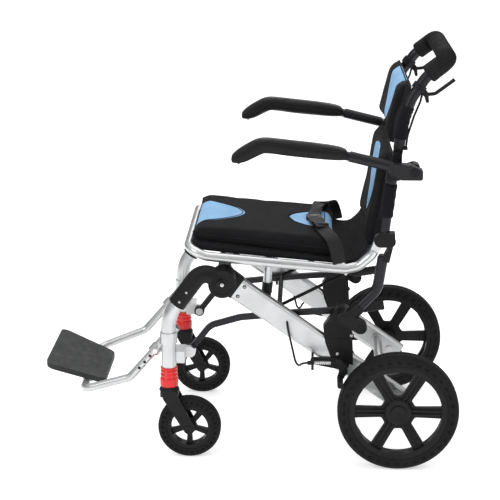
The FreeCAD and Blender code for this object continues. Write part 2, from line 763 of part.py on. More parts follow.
def link_line():
    """Side view points of a link bar from its front pivot to its rear eye."""
    return [P2, fore(-440.0, 303.0), fore(-369.0, 324.0), fore(-233.0, 338.0), (P3[0] - 18, P3[1] - 2),
            (P3[0] + 8, P3[1] - 4)]


def link_cross():
    return fore(-278.0, 333.4)


def link_bar():
    points = [(LINK_X,) + p for p in link_line()]
    bar = sweep(points, [40.0, 60.0, 200.0, 60.0], flat_face(14.0, 10.0))
    eye = xrod(P2, LINK_X - 5, LINK_X + 5, 13.0)
    boss = xrod(P3, LINK_X - 7, LINK_X + 6, 12.0)
    stalk = rod((LINK_X, P3[0], P3[1] - 4), (LINK_X, P3[0] + 88, P3[1] + 11), 5.0)
    return join([bar, eye, boss, stalk]).cut(xrod(P2, LINK_X - 10, LINK_X + 10, 5.0 + FIT))


def link_bars():
    rung = xrod(link_cross(), -LINK_X, LINK_X, 6.0)
    bar = link_bar()
    return join([bar, flip(bar), rung])


def tipping_peg():
    """Ribbed rubber sleeve on the rear stalk of a link bar."""
    p = (LINK_X, P3[0] + 30, P3[1] + 1.1)
    q = (LINK_X, P3[0] + 94, P3[1] + 12.0)
    along = unit(V(*q) - V(*p))
    sleeve = rod(p, q, 10.0)
    parts = [sleeve]
    for i in range(8):
        start = V(*p) + along * (1.0 + 8.0 * i)
        parts.append(Part.makeCylinder(11.0, 5.0, start, along))
    stalk = rod((LINK_X, P3[0], P3[1] - 4), (LINK_X, P3[0] + 88, P3[1] + 11), 5.0)
    return join(parts).cut(stalk)


# ---------------------------------------------------------------- back frame

def post_line():
    return [aft(-39.0, 547.0), aft(-25.5, 666.0), aft(-17.7, 711.0)]


def post_solid(r):
    return sweep([(SIDE,) + p for p in post_line()], [300.0], round_face(r))


def back_post():
    return post_solid(BACK_R).cut(post_solid(BACK_R - WALL))


def lower_back_line():
    return [aft(-40.0, 490.0), aft(-51.0, 413.0), (P3[0] + 11.0, P3[1] - 1.0)]


def lower_back_solid(r):
    return sweep([(SIDE,) + p for p in lower_back_line()], [45.0], round_face(r))


def lower_back_tube():
    return lower_back_solid(BACK_R).cut(lower_back_solid(BACK_R - WALL))


def spigot(line, root, reach):
    """Core of a casting that fills the end of a tube, rooted a little below it."""
    a = (SIDE,) + line[0]
    b = (SIDE,) + line[1]
    return rod(toward(a, b, -root), toward(a, b, reach), BACK_R - WALL - 0.15)


def back_casting():
    """Base bracket at the seat pivot, lower lug and lower half of the upper back hinge."""
    x0 = SIDE - 14.0
    x1 = SIDE + 14.0
    y, z = P4
    wall = xplate([(y + 17, z + 17), (y + 17, z - 19), (y + 3, z - 47), (y + 20, z - 52), (y + 32, z + 4),
                   (y + 32, z + 17)], x0, x1)
    cap = xplate([(y - 8, z + 19), (y + 20, z + 19), (y + 20, z + 14), (y - 5, z + 15.5)], x0, x1)
    base = [wall, cap]
    for a in (x0, SIDE + 7.5):
        base.append(xbar(P4, (y + 20, z - 2), 15.5, a, a + 6.5, 14.0))
    base.append(xrod(P4, x0 - 1.5, x1 + 2.5, 5.0))
    base.append(xrod(P4, x1, x1 + 2.5, 9.0))
    bracket = join(base).cut(lower_back_solid(BACK_R)).cut(post_solid(BACK_R)).cut(seat_swing())
    bracket = join([bracket, spigot(post_line(), 1.2, 22.0), spigot(lower_back_line(), 5.0, 28.0)])
    lobe = xbar(P3, (P3[0] + 38, P3[1] - 24), 15.0, SIDE - 11, SIDE + 14)
    socket = rod((SIDE,) + (P3[0] + 14, P3[1] + 2), (SIDE,) + (P3[0] + 36, P3[1] + 25), BACK_R + 3.5)
    socket = socket.common(box(SIDE - 11, SIDE + 30, -900, 900, 0, 1500))
    lug = join([lobe, socket])
    lug = lug.cut(lower_back_solid(BACK_R))
    for p in (P3, (P3[0] + 38, P3[1] - 24)):
        lug = lug.fuse(xrod(p, SIDE + 13.5, SIDE + 16.5, 6.5))
    hinge_low = hinge_block()
    return Part.makeCompound([bracket, lug.removeSplitter(), hinge_low])


def seat_swing():
    """Room for the seat lug between the cheeks."""
    y, z = P4
    hole = xrod(P4, SIDE - 7.5, SIDE + 7.5, 15.2)
    front = box(SIDE - 7.5, SIDE + 7.5, y - 40, y, z - 40, z + 15.2)
    return hole.fuse(front).cut(xrod(P4, 0, 400, 5.0))


def hinge_block():
    """Lower half of the upper back hinge on the top of a post."""
    y, z = P6
    outline = [(y - 17, z - 12), (y + 8, z - 12), (y + 11, z - 15.5), (y + 11, z - 22), (y - 19, z - 22)]
    body = xplate(outline, SIDE - 14, SIDE + 14)
    parts = [body]
    for a in (SIDE - 14.0, SIDE + 7.0):
        parts.append(xbar(P6, (y - 2, z - 16), 10.5, a, a + 7.0, 13.0))
    parts.append(xrod(P6, SIDE - 16.5, SIDE + 16.5, 5.0))
    parts.append(xrod(P6, SIDE + 14, SIDE + 16.5, 8.0))
    block = join(parts).cut(post_solid(BACK_R))
    block = join([block, spigot(post_line()[::-1], 2.0, 20.0)])
    return block.cut(xrod(P6, SIDE - 7, SIDE + 7, 13.0).cut(xrod(P6, 0, 400, 5.0)))


def pad_outline(points):
    """Front edge points of a pad, closed by the same edge moved back by the thickness."""
    return points + [(y + PAD_T, z) for y, z in reversed(points)]


def back_pad_lower():
    half = SIDE - 15.0
    front = [aft(-89.0, 500.0), aft(-67.0, 605.0), aft(-48.0, 736.0)]
    block = xplate(pad_outline(front), -half, half)
    edges = []
    for edge in block.Edges:
        if edge.BoundBox.YLength + edge.BoundBox.ZLength < 60 or edge.BoundBox.XLength < 1:
            edges.append(edge)
    block = block.makeFillet(7.0, edges)
    post = post_solid(BACK_R)
    hem = post_solid(BACK_R + 2.0).common(box(0, 400, -200, 200, aft(0, 585)[1], aft(0, 662)[1]))
    web = box(half - 12, SIDE, aft(-60, 0)[0], aft(-28, 0)[0], aft(0, 585)[1], aft(0, 662)[1])
    web = web.common(xplate([aft(-62, 585), aft(-50, 662), aft(-28, 662), aft(-36, 585)], 0, 400))
    side = join([hem, web])
    return join([block, side, flip(side)]).cut(post).cut(flip(post))


def arm_bracket():
    """Clamp on a post and the arm that carries the armrest pivot pin."""
    collar = post_solid(BACK_R + 2.4).common(box(0, 400, -200, 200, aft(0, 671)[1], aft(0, 697)[1]))
    reach = xbar(aft(-16.0, 692.0), P5, 13.0, SIDE + 14, ARM_X - 13, 14.5)
    pin = xrod(P5, ARM_X - 14, ARM_X + 15, 6.0)
    head = xrod(P5, ARM_X + 12.5, ARM_X + 15.5, 9.0)
    return join([collar, reach, pin, head]).cut(post_solid(BACK_R))


# ---------------------------------------------------------------- armrests

def arm_line():
    return [aft(-372.0, 726.0), aft(-314.0, 757.0), aft(-126.0, 738.0), aft(-26.0, 714.0)]


def arm_tube_solid():
    return sweep([(ARM_X,) + p for p in arm_line()], [30.0, 200.0], round_face(10.0))


def arm_tube():
    """Armrest tube and its hinge block."""
    y, z = P5
    block = xplate([(y - 56, z + 18), (y - 10, z + 18), (y + 18, z + 5), (y + 18, z - 17), (y - 30, z - 17),
                    (y - 56, z - 3)], ARM_X - 12, ARM_X + 12)
    edges = []
    for edge in block.Edges:
        if edge.BoundBox.XLength > 20:
            edges.append(edge)
    block = block.makeFillet(5.0, edges)
    sleeve = rod((ARM_X,) + aft(-122.0, 737.0), (ARM_X,) + aft(-30.0, 715.0), 12.0)
    body = join([arm_tube_solid(), sleeve, block])
    return body.cut(xrod(P5, ARM_X - 20, ARM_X + 20, 6.0 + FIT)).cut(xrod(P5, ARM_X + 12, ARM_X + 30, 30.0))


def arm_pad():
    """Padded top wrapped over the armrest tube."""
    outline = [aft(-386.0, 737.0), aft(-316.0, 779.0), aft(-128.0, 760.0), aft(-118.0, 725.0),
               aft(-308.0, 742.0), aft(-366.0, 714.0), aft(-383.0, 718.0)]
    block = xplate(outline, ARM_X - 23, ARM_X + 23)
    edges = []
    for edge in block.Edges:
        if edge.BoundBox.XLength < 1.0 or edge.BoundBox.XLength > 40:
            edges.append(edge)
    block = block.makeFillet(5.5, edges)
    sleeve = rod((ARM_X,) + aft(-122.0, 737.0), (ARM_X,) + aft(-30.0, 715.0), 12.0)
    return block.cut(arm_tube_solid()).cut(sleeve)


# ---------------------------------------------------------------- upper back

def arch_points():
    return [(SIDE,) + aft(-10.5, 746.0), (SIDE,) + aft(-3.5, 807.0), (SIDE - 6,) + aft(15.5, 856.0),
            (SIDE - 16,) + aft(46.0, 901.0), (SIDE - 20,) + aft(98.0, 940.0), (0.0,) + aft(98.0, 940.0)]


def arch_solid(r):
    return sweep(arch_points(), [60.0, 60.0, 50.0, 38.0], round_face(r))


def handle_arch():
    half = arch_solid(BACK_R).cut(arch_solid(BACK_R - WALL))
    return join([half, flip(half)])


def grip_points():
    p = arch_points()
    low = V(*p[3]) + unit(V(*p[4]) - V(*p[3])) * 9.0
    return [(low.x, low.y, low.z), p[4], p[5]]


def foam_grip():
    """Foam sleeve round the top of the arch."""
    sleeve = sweep(grip_points(), [38.0], round_face(BACK_R + 4.0))
    half = sleeve.cut(sweep(grip_points(), [38.0], round_face(BACK_R)))
    return join([half, flip(half)])


def upper_knuckle():
    """Hinge tongue in the foot of an arch tube, and the brake lever's clamp higher up."""
    y, z = P6
    tongue = xbar(P6, (y + 2.5, z + 15), 10.5, SIDE - 6.9, SIDE + 6.9)
    collar = xplate([(y - 9, z + 19), (y - 8, z + 15), (y + 22, z + 15), (y + 22.5, z + 19)], SIDE - 13, SIDE + 13)
    foot = arch_points()[0]
    plug = rod(toward(foot, arch_points()[1], -2.0), toward(foot, arch_points()[1], 20.0), BACK_R - WALL - 0.15)
    knuckle = join([join([tongue, collar]).cut(arch_solid(BACK_R)), plug])
    knuckle = knuckle.cut(xrod(P6, SIDE - 20, SIDE + 20, 5.0 + FIT))
    return Part.makeCompound([knuckle, lever_clamp()])


def lever_clamp():
    """Ring on the arch with two ears for the brake lever."""
    p = arch_points()
    a = V(*p[2])
    along = unit(V(*p[3]) - a)
    ring = Part.makeCylinder(BACK_R + 3.5, 14.0, a + along * 22.0, along)
    y, z = LEVER_PIVOT
    x = SIDE - 13.0
    parts = [ring]
    for x0 in (x - 7.0, x + 4.0):
        parts.append(xbar(LEVER_PIVOT, (y - 14, z + 14), 6.0, x0, x0 + 3.0, 8.0))
    parts.append(xrod(LEVER_PIVOT, x - 8.0, x + 8.0, 2.5))
    return join(parts).cut(arch_solid(BACK_R))


def brake_lever():
    """Squeeze lever under the grip."""
    y, z = LEVER_PIVOT
    x = SIDE - 13.0
    points = [(x, y, z), (x, y + 20, z + 2), (x, y + 62, z + 34)]
    blade = sweep(points, [18.0], flat_face(7.0, 7.4))
    eye = xrod(LEVER_PIVOT, x - 3.7, x + 3.7, 5.0)
    tail = xbar(LEVER_PIVOT, (y + 3, z - 15), 4.6, x - 3.7, x + 3.7, 3.6)
    return join([blade, eye, tail]).cut(xrod(LEVER_PIVOT, x - 10, x + 10, 2.5 + FIT))


def upper_brake_cable():
    """Sheathed cable from the lever clamp down beside the arch tube to its foot."""
    y, z = LEVER_PIVOT
    points = [(SIDE - 13.0, y - 8.5, z + 3.0), (SIDE - 12.0, y - 12.5, z - 16.0), (SIDE - 3.0,) + aft(21.0, 815.0),
              (SIDE,) + aft(8.0, 772.0), (SIDE,) + aft(5.2, 746.4)]
    cable = sweep(points, [18.0, 40.0, 60.0], round_face(2.4))
    return cable.cut(arch_solid(BACK_R)).cut(lever_clamp())


def back_pad_upper():
    half = SIDE - 15.0
    front = [aft(-46.5, 748.0), aft(-16.0, 869.0), aft(-8.0, 893.0)]
    block = xplate(pad_outline(front), -half, half)
    edges = []
    for edge in block.Edges:
        if edge.BoundBox.YLength + edge.BoundBox.ZLength < 60 or edge.BoundBox.XLength < 1:
            edges.append(edge)
    block = block.makeFillet(7.0, edges)
    arch = arch_solid(BACK_R)
    hem = arch_solid(BACK_R + 2.0).common(box(0, 400, -200, 200, aft(0, 765)[1], aft(0, 838)[1]))
    web = xplate([aft(-40, 765), aft(-22, 838), aft(3, 838), aft(-8, 765)], half - 12, SIDE)
    clear = arch_solid(BACK_R + 0.4)
    side = join([hem, web]).cut(upper_brake_cable())
    block = block.cut(lever_clamp()).cut(clear).cut(flip(clear)).cut(flip(lever_clamp()))
    return join([middle_solid(block.Solids), side, flip(side)]).cut(arch).cut(flip(arch))


# ---------------------------------------------------------------- nodes

def build():
    fork_left = fork()
    rim_left = caster_rim()
    tyre_left = caster_tyre()
    wheel_left = rear_rim()
    rear_left = rear_tyre()
    arm_left = brake_arm()
    tube_left = arm_tube()
    pad_left = arm_pad()
    lever_left = brake_lever()
    button_left = height_button()
    return {
        "front_legs": pair(front_leg()),
        "elbow_castings": pair(elbow()),
        "front_boots": pair(boot()),
        "link_brackets": pair(link_bracket()),
        "main_cross_tube": main_cross_tube(),
        "front_fasteners": pair(front_fastener_set()),
        "hanger_collars": pair(hanger_collar()),
        "footrest_hangers": pair(hanger()),
        "footrest_frame": footrest_frame(),
        "footplate": footplate(),
        "height_button_left": button_left,
        "height_button_right": flip(button_left),
        "caster_fork_left": fork_left,
        "caster_fork_right": flip(fork_left),
        "caster_rim_left": rim_left,
        "caster_rim_right": flip(rim_left),
        "caster_tyre_left": tyre_left,
        "caster_tyre_right": flip(tyre_left),
        "rear_beams": pair(beam()),
        "beam_hinges": pair(beam_hinge()),
        "beam_uprights": pair(beam_upright()),
        "rear_cross_tube": rear_cross_tube(),
        "rear_axles": pair(rear_axle()),
        "brake_brackets": pair(brake_bracket()),
        "brake_springs": pair(brake_spring()),
        "lower_brake_cables": pair(lower_brake_cable()),
        "beam_fasteners": pair(beam_fastener_set()),
        "brake_arm_left": arm_left,
        "brake_arm_right": flip(arm_left),
        "rear_rim_left": wheel_left,
        "rear_rim_right": flip(wheel_left),
        "rear_tyre_left": rear_left,
        "rear_tyre_right": flip(rear_left),
        "seat_frame_tube": seat_frame_tube(),
        "seat_pivot_frame": seat_pivot_frame(),
        "seat_struts": pair(seat_strut()),
        "strut_feet": pair(strut_foot()),
        "seat_sling": seat_sling(),
        "seat_cushion": seat_cushion(),
        "seat_belt": seat_belt(),
        "belt_buckle": belt_buckle(),
        "fold_latch": fold_latch(),
        "link_bars": link_bars(),
        "tipping_pegs": pair(tipping_peg()),
        "back_posts": pair(back_post()),
        "back_castings": pair(back_casting()),
        "lower_back_tubes": pair(lower_back_tube()),
        "back_pad_lower": back_pad_lower(),
        "arm_brackets": pair(arm_bracket()),
        "arm_tube_left": tube_left,
        "arm_tube_right": flip(tube_left),
        "arm_pad_left": pad_left,
        "arm_pad_right": flip(pad_left),
        "handle_arch": handle_arch(),
        "foam_grip": foam_grip(),
        "upper_knuckles": pair(upper_knuckle()),
        "upper_brake_cables": pair(upper_brake_cable()),
        "back_pad_upper": back_pad_upper(),
        "brake_lever_left": lever_left,
        "brake_lever_right": flip(lever_left),
    }


def report_pivots(shift):
    """Prints each pivot in metres after the final move."""
    named = {"seat": (0, P1), "link": (0, P2), "link rear": (0, P3), "back": (0, P4), "armrest": (ARM_X, P5),
             "upper back": (0, P6), "hanger": (0, P7), "rear hub": (WHEEL_X, HUB),
             "caster hub": (CASTER_X, CASTER_HUB), "swivel": (CASTER_X, (SWIVEL_Y, BOOT_Z)),
             "footplate": (0, PLATE_AXIS), "brake arm": (WHEEL_X - 31, BRAKE_PIVOT),
             "latch": (0, LATCH_PIVOT), "lever": (SIDE - 13, LEVER_PIVOT),
             "button": (hanger_point(55)[0], hanger_point(55)[1:])}
    for name, (x, p) in named.items():
        moved = at(x, p) + shift
        print(name, round(moved.x / 1000, 6), round(moved.y / 1000, 6), round(moved.z / 1000, 6))


def main():
    nodes = build()
    whole = Part.makeCompound(list(nodes.values())).optimalBoundingBox(False, False)
    shift = V(-(whole.XMin + whole.XMax) / 2, -(whole.YMin + whole.YMax) / 2, -whole.ZMin)
    os.makedirs("parts", exist_ok=True)
    for name, shape in nodes.items():
        shape.translate(shift)
        shape.exportStep("parts/" + name + ".step")
    report_pivots(shift)
    print("size", round(whole.XLength, 2), round(whole.YLength, 2), round(whole.ZLength, 2))


main()
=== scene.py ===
import bpy
import bmesh
import json
import math
from mathutils import Matrix, Vector
from mathutils.bvhtree import BVHTree


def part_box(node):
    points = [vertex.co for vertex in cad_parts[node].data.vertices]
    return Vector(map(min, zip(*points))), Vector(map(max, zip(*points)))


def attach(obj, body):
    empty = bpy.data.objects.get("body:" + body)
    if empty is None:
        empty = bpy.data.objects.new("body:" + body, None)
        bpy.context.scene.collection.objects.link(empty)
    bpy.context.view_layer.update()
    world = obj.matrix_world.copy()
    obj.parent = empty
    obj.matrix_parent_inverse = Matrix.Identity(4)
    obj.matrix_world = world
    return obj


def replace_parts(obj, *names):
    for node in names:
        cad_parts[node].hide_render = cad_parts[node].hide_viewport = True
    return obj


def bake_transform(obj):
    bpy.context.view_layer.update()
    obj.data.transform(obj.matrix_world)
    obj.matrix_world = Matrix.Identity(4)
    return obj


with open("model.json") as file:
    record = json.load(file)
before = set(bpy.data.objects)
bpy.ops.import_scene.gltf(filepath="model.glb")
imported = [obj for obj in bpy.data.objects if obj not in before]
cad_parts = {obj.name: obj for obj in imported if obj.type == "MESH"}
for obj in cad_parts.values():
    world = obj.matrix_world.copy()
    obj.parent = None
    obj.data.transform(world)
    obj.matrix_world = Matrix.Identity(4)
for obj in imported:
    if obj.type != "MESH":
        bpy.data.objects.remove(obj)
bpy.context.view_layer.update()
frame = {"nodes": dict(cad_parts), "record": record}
RECORD = frame["record"]
NODES = frame["nodes"]
LINK = bpy.context.scene.collection.objects.link

# The CAD source is laid out in millimetres from the floor under the rear axle.
_lo, _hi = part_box("rear_tyre_left")
HUB_Y = (_lo.y + _hi.y) / 2
SIDE = 198.0            # middle of the chair to the axis of a side tube
MM = 0.001


def P(x, y, z):
    """Point given in the CAD source's millimetres."""
    return Vector((x * MM, y * MM + HUB_Y, z * MM))


# ------------------------------------------------------------------ camera, floor and light

scene = bpy.context.scene
scene.view_settings.view_transform = "Standard"
BACK = Vector((0.96138, 0.03777, 0.27262)).normalized()
RIGHT = Vector((0, 0, 1)).cross(BACK).normalized()
UP = BACK.cross(RIGHT)
cam_data = bpy.data.cameras.new("camera")
cam_data.lens = 108
cam_data.sensor_width = 36
cam = bpy.data.objects.new("camera", cam_data)
LINK(cam)
cam.matrix_world = Matrix.Translation((3.50064, 0.13475, 1.43943)) @ Matrix(
    (RIGHT, UP, BACK)).transposed().to_4x4()
scene.camera = cam


def area_light(name, place, target, size, power):
    data = bpy.data.lights.new(name, "AREA")
    data.shape = "RECTANGLE"
    data.size = size[0]
    data.size_y = size[1]
    data.energy = power
    lamp = bpy.data.objects.new(name, data)
    LINK(lamp)
    lamp.location = place
    lamp.rotation_euler = (Vector(target) - Vector(place)).to_track_quat("-Z", "Y").to_euler()


area_light("key", (2.6, -2.4, 2.6), (0, 0, 0.4), (1.8, 1.8), 40)
area_light("fill", (3.2, 2.4, 1.6), (0, 0, 0.4), (1.4, 2.0), 16)
area_light("top", (-0.4, 0.2, 3.4), (0, 0, 0.3), (3.0, 3.0), 34)
area_light("rim", (-2.8, 0.4, 1.8), (0, 0, 0.5), (1.6, 1.2), 12)

world = bpy.data.worlds.new("studio")
scene.world = world
world.use_nodes = True
sky = world.node_tree


def studio_sky():
    """Bright overhead and dim at the horizon for the object, and plain white behind it."""
    place = sky.nodes.new("ShaderNodeTexCoord")
    split = sky.nodes.new("ShaderNodeSeparateXYZ")
    ramp = sky.nodes.new("ShaderNodeValToRGB")
    path = sky.nodes.new("ShaderNodeLightPath")
    mix = sky.nodes.new("ShaderNodeMix")
    mix.data_type = "RGBA"
    sky.links.new(place.outputs["Generated"], split.inputs[0])
    sky.links.new(split.outputs["Z"], ramp.inputs[0])
    ramp.color_ramp.elements[0].position = 0.0
    ramp.color_ramp.elements[0].color = (0.16, 0.16, 0.163, 1)
    ramp.color_ramp.elements[1].position = 0.75
    ramp.color_ramp.elements[1].color = (0.8, 0.8, 0.8, 1)
    sky.links.new(path.outputs["Is Camera Ray"], mix.inputs[0])
    sky.links.new(ramp.outputs["Color"], mix.inputs[6])
    mix.inputs[7].default_value = (1.1, 1.1, 1.1, 1)
    sky.links.new(mix.outputs[2], sky.nodes["Background"].inputs["Color"])
    sky.nodes["Background"].inputs["Strength"].default_value = 1.0


studio_sky()


# ------------------------------------------------------------------ node helpers

class Graph:
    """Short calls for building one material."""

    def __init__(self, name):
        self.material = bpy.data.materials.new(name)
        self.material.use_nodes = True
        self.tree = self.material.node_tree
        self.shader = self.tree.nodes["Principled BSDF"]
        self.place = self.node("ShaderNodeTexCoord").outputs["Object"]

    def node(self, kind, **values):
        made = self.tree.nodes.new(kind)
        for key, value in values.items():
            setattr(made, key, value)
        return made

    def join(self, source, socket):
        self.tree.links.new(source, socket)

    def noise(self, scale, detail=3.0):
        made = self.node("ShaderNodeTexNoise")
        made.inputs["Scale"].default_value = scale
        made.inputs["Detail"].default_value = detail
        self.join(self.place, made.inputs["Vector"])
        return made.outputs["Fac"]

    def math(self, operation, a, b=0.0):
        made = self.node("ShaderNodeMath", operation=operation)
        for socket, value in zip(made.inputs, (a, b)):
            if isinstance(value, (int, float)):
                socket.default_value = value
            else:
                self.join(value, socket)
        return made.outputs[0]

    def span(self, value, low, high, to_low, to_high):
        made = self.node("ShaderNodeMapRange")
        self.join(value, made.inputs["Value"])
        limits = (("From Min", low), ("From Max", high), ("To Min", to_low), ("To Max", to_high))
        for key, number in limits:
            made.inputs[key].default_value = number
        return made.outputs["Result"]

    def mix(self, factor, a, b):
        made = self.node("ShaderNodeMix", data_type="RGBA")
        for socket, value in ((made.inputs[0], factor), (made.inputs[6], a), (made.inputs[7], b)):
            if isinstance(value, tuple):
                socket.default_value = value + (1.0,)
            else:
                self.join(value, socket)
        return made.outputs[2]

    def bump(self, height, depth, strength):
        made = self.node("ShaderNodeBump")
        made.inputs["Strength"].default_value = strength
        made.inputs["Distance"].default_value = depth
        self.join(height, made.inputs["Height"])
        self.join(made.outputs["Normal"], self.shader.inputs["Normal"])

    def edge_wear(self, radius):
        """0 on flat faces, 1 along sharp edges."""
        bevel = self.node("ShaderNodeBevel", samples=4)
        bevel.inputs["Radius"].default_value = radius
        geometry = self.node("ShaderNodeNewGeometry")
        dot = self.node("ShaderNodeVectorMath", operation="DOT_PRODUCT")
        self.join(bevel.outputs["Normal"], dot.inputs[0])
        self.join(geometry.outputs["Normal"], dot.inputs[1])
        return self.span(dot.outputs["Value"], 0.97, 0.8, 0.0, 1.0)


def shades(colour, low, high):
    return tuple(c * low for c in colour), tuple(min(1.0, c * high) for c in colour)


def metal(name, colour, rough, grain, depth, wear=None):
    """Finished metal, patchy in tone, with an optional colour where its edges have worn."""
    g = Graph(name)
    dark, light = shades(colour, 0.9, 1.05)
    tone = g.mix(g.span(g.noise(9.0), 0.3, 0.7, 0.0, 1.0), dark, light)
    if wear:
        edge = g.math("MULTIPLY", g.edge_wear(0.0012), g.span(g.noise(60.0), 0.45, 0.7, 0.0, 1.0))
        tone = g.mix(edge, tone, wear)
    g.join(tone, g.shader.inputs["Base Color"])
    g.shader.inputs["Metallic"].default_value = 0.9
    g.join(g.span(g.noise(40.0, 4.0), 0.3, 0.7, rough - 0.06, rough + 0.07), g.shader.inputs["Roughness"])
    g.bump(g.noise(grain, 2.0), depth, 0.5)
    return g.material


def moulded(name, colour, rough, grain, depth, worn=None, specular=0.2, coat=0.0):
    """Grained plastic, rubber or coated casting, with an optional worn edge and clear coat."""
    g = Graph(name)
    dark, light = shades(colour, 0.8, 1.25)
    tone = g.mix(g.span(g.noise(14.0, 4.0), 0.3, 0.7, 0.0, 1.0), dark, light)
    if worn:
        edge = g.math("MULTIPLY", g.edge_wear(0.0014), g.span(g.noise(90.0), 0.4, 0.65, 0.15, 0.8))
        tone = g.mix(edge, tone, worn)
    g.join(tone, g.shader.inputs["Base Color"])
    g.join(g.span(g.noise(55.0, 4.0), 0.3, 0.7, rough - 0.07, rough + 0.08), g.shader.inputs["Roughness"])
    g.shader.inputs["Specular IOR Level"].default_value = specular
    if coat:
        g.shader.inputs["Coat Weight"].default_value = coat
        g.shader.inputs["Coat Roughness"].default_value = 0.12
    g.bump(g.noise(grain, 3.0), depth, 0.6)
    return g.material


BLACK_CLOTH = (0.007, 0.007, 0.008)
BLUE_CLOTH = (0.30, 0.53, 0.80)


def weave(name, colour, pitch, second=None, rough=0.85, sheen=0.04):
    """Mesh cloth. Where second is given, the stored panel distance switches the colour."""
    g = Graph(name)
    split = g.node("ShaderNodeSeparateXYZ")
    g.join(g.place, split.inputs[0])
    turns = 2 * math.pi / pitch
    across = g.math("SINE", g.math("MULTIPLY", split.outputs["X"], turns))
    rise = g.math("ADD", split.outputs["Y"], split.outputs["Z"])
    upright = g.math("SINE", g.math("MULTIPLY", rise, turns))
    threads = g.math("MULTIPLY", across, upright)
    dark, light = shades(colour, 0.7, 1.35)
    tone = g.mix(g.span(threads, -1.0, 1.0, 0.0, 1.0), dark, light)
    if second:
        distance = g.node("ShaderNodeAttribute", attribute_name="panel").outputs["Fac"]
        dim, bright = shades(second, 0.86, 1.08)
        blue = g.mix(g.span(threads, -1.0, 1.0, 0.0, 1.0), dim, bright)
        tone = g.mix(g.span(distance, -0.15, 0.15, 0.0, 1.0), tone, blue)
    patchy = g.span(g.noise(16.0, 4.0), 0.3, 0.7, 0.88, 1.1)
    value = g.node("ShaderNodeHueSaturation")
    g.join(patchy, value.inputs["Value"])
    g.join(tone, value.inputs["Color"])
    g.join(value.outputs["Color"], g.shader.inputs["Base Color"])
    g.join(g.span(g.noise(300.0), 0.3, 0.7, rough - 0.08, rough + 0.08), g.shader.inputs["Roughness"])
    g.shader.inputs["Sheen Weight"].default_value = sheen
    g.shader.inputs["Sheen Roughness"].default_value = 0.4
    g.shader.inputs["Specular IOR Level"].default_value = 0.12
    g.bump(g.math("ADD", threads, g.noise(1400.0)), 0.00035, 0.6)
    return g.material


RIB_PITCH = 0.0016


def webbing(name, colour):
    """Ribbed strap webbing."""
    g = Graph(name)
    split = g.node("ShaderNodeSeparateXYZ")
    g.join(g.place, split.inputs[0])
    along = g.math("ADD", split.outputs["X"], split.outputs["Y"])
    ribs = g.math("SINE", g.math("MULTIPLY", along, 2 * math.pi / RIB_PITCH))
    dark, light = shades(colour, 0.6, 1.5)
    g.join(g.mix(g.span(ribs, -1.0, 1.0, 0.0, 1.0), dark, light), g.shader.inputs["Base Color"])
    g.shader.inputs["Roughness"].default_value = 0.55
    g.shader.inputs["Sheen Weight"].default_value = 0.05
    g.shader.inputs["Specular IOR Level"].default_value = 0.3
    g.bump(g.math("ADD", ribs, g.noise(2200.0)), 0.0003, 0.8)
    return g.material


M = {
    "alu": metal("satin_aluminium", (0.60, 0.605, 0.61), 0.33, 1600.0, 0.00004),
    "black_cast": moulded("coated_casting", (0.007, 0.007, 0.008), 0.5, 1500.0, 0.0001,
                          (0.05, 0.05, 0.055)),
    "steel": metal("zinc_steel", (0.66, 0.66, 0.67), 0.3, 900.0, 0.00005),
    "red": moulded("red_moulding", (0.60, 0.016, 0.018), 0.3, 700.0, 0.00005, coat=0.4),
    "rim": moulded("filled_nylon", (0.007, 0.007, 0.008), 0.48, 1300.0, 0.00012,
                   (0.03, 0.03, 0.033)),
    "tyre": moulded("tyre_rubber", (0.008, 0.008, 0.0085), 0.72, 900.0, 0.00016, specular=0.18),
    "rubber": moulded("ribbed_rubber", (0.016, 0.016, 0.017), 0.66, 1000.0, 0.00014,
                      specular=0.35),
    "black_plastic": moulded("black_moulding", (0.008, 0.008, 0.009), 0.42, 1400.0, 0.00008,
                             (0.04, 0.04, 0.045)),
    "plate": moulded("plate_moulding", (0.028, 0.029, 0.030), 0.55, 1100.0, 0.0002,
                     (0.09, 0.09, 0.095)),
    "fabric": weave("mesh_cloth", BLACK_CLOTH, 0.0024, BLUE_CLOTH),
    "web": webbing("webbing", (0.009, 0.009, 0.010)),
    "foam": moulded("foam_rubber", (0.009, 0.009, 0.010), 0.78, 1800.0, 0.0003, specular=0.2),
    "cable": moulded("cable_sheath", (0.012, 0.012, 0.013), 0.35, 1100.0, 0.00004),
    "black_tube": metal("black_anodised", (0.03, 0.03, 0.033), 0.4, 1500.0, 0.00004,
                        (0.12, 0.12, 0.13)),
    "leather": moulded("arm_pad_cover", (0.007, 0.007, 0.0075), 0.5, 420.0, 0.0003),
    "piping": weave("piping_cloth", (0.33, 0.5, 0.7), 0.0016),
    "hem": weave("hem_cloth", (0.009, 0.009, 0.0105), 0.0016),
}

# A CAD node takes the finish of its slot, apart from these.
FINISH_OF = {part["node"]: part["material_slot"] for part in RECORD["subparts"]}
FINISH_OF.update(dict.fromkeys(("back_posts", "lower_back_tubes", "handle_arch", "arm_tube_left",
                                "arm_tube_right", "link_bars"), "black_tube"))
FINISH_OF.update(dict.fromkeys(("link_brackets", "hanger_collars"), "alu"))
for node_name, node_object in NODES.items():
    node_object.data.materials.clear()
    node_object.data.materials.append(M[FINISH_OF.get(node_name, "black_cast")])


# ------------------------------------------------------------------ mesh helpers

def shade_smooth(data):
    for polygon in data.polygons:
        polygon.use_smooth = True


def new_mesh(name, points, faces, material):
    """Smooth shaded object from points and faces, with its normals facing out."""
    data = bpy.data.meshes.new(name)
    data.from_pydata([tuple(p) for p in points], [], faces)
    data.validate()
    shape = bmesh.new()
    shape.from_mesh(data)
    bmesh.ops.recalc_face_normals(shape, faces=shape.faces)
    shape.to_mesh(data)
    shape.free()
    made = bpy.data.objects.new(name, data)
    LINK(made)
    data.materials.append(material)
    shade_smooth(data)
    return made


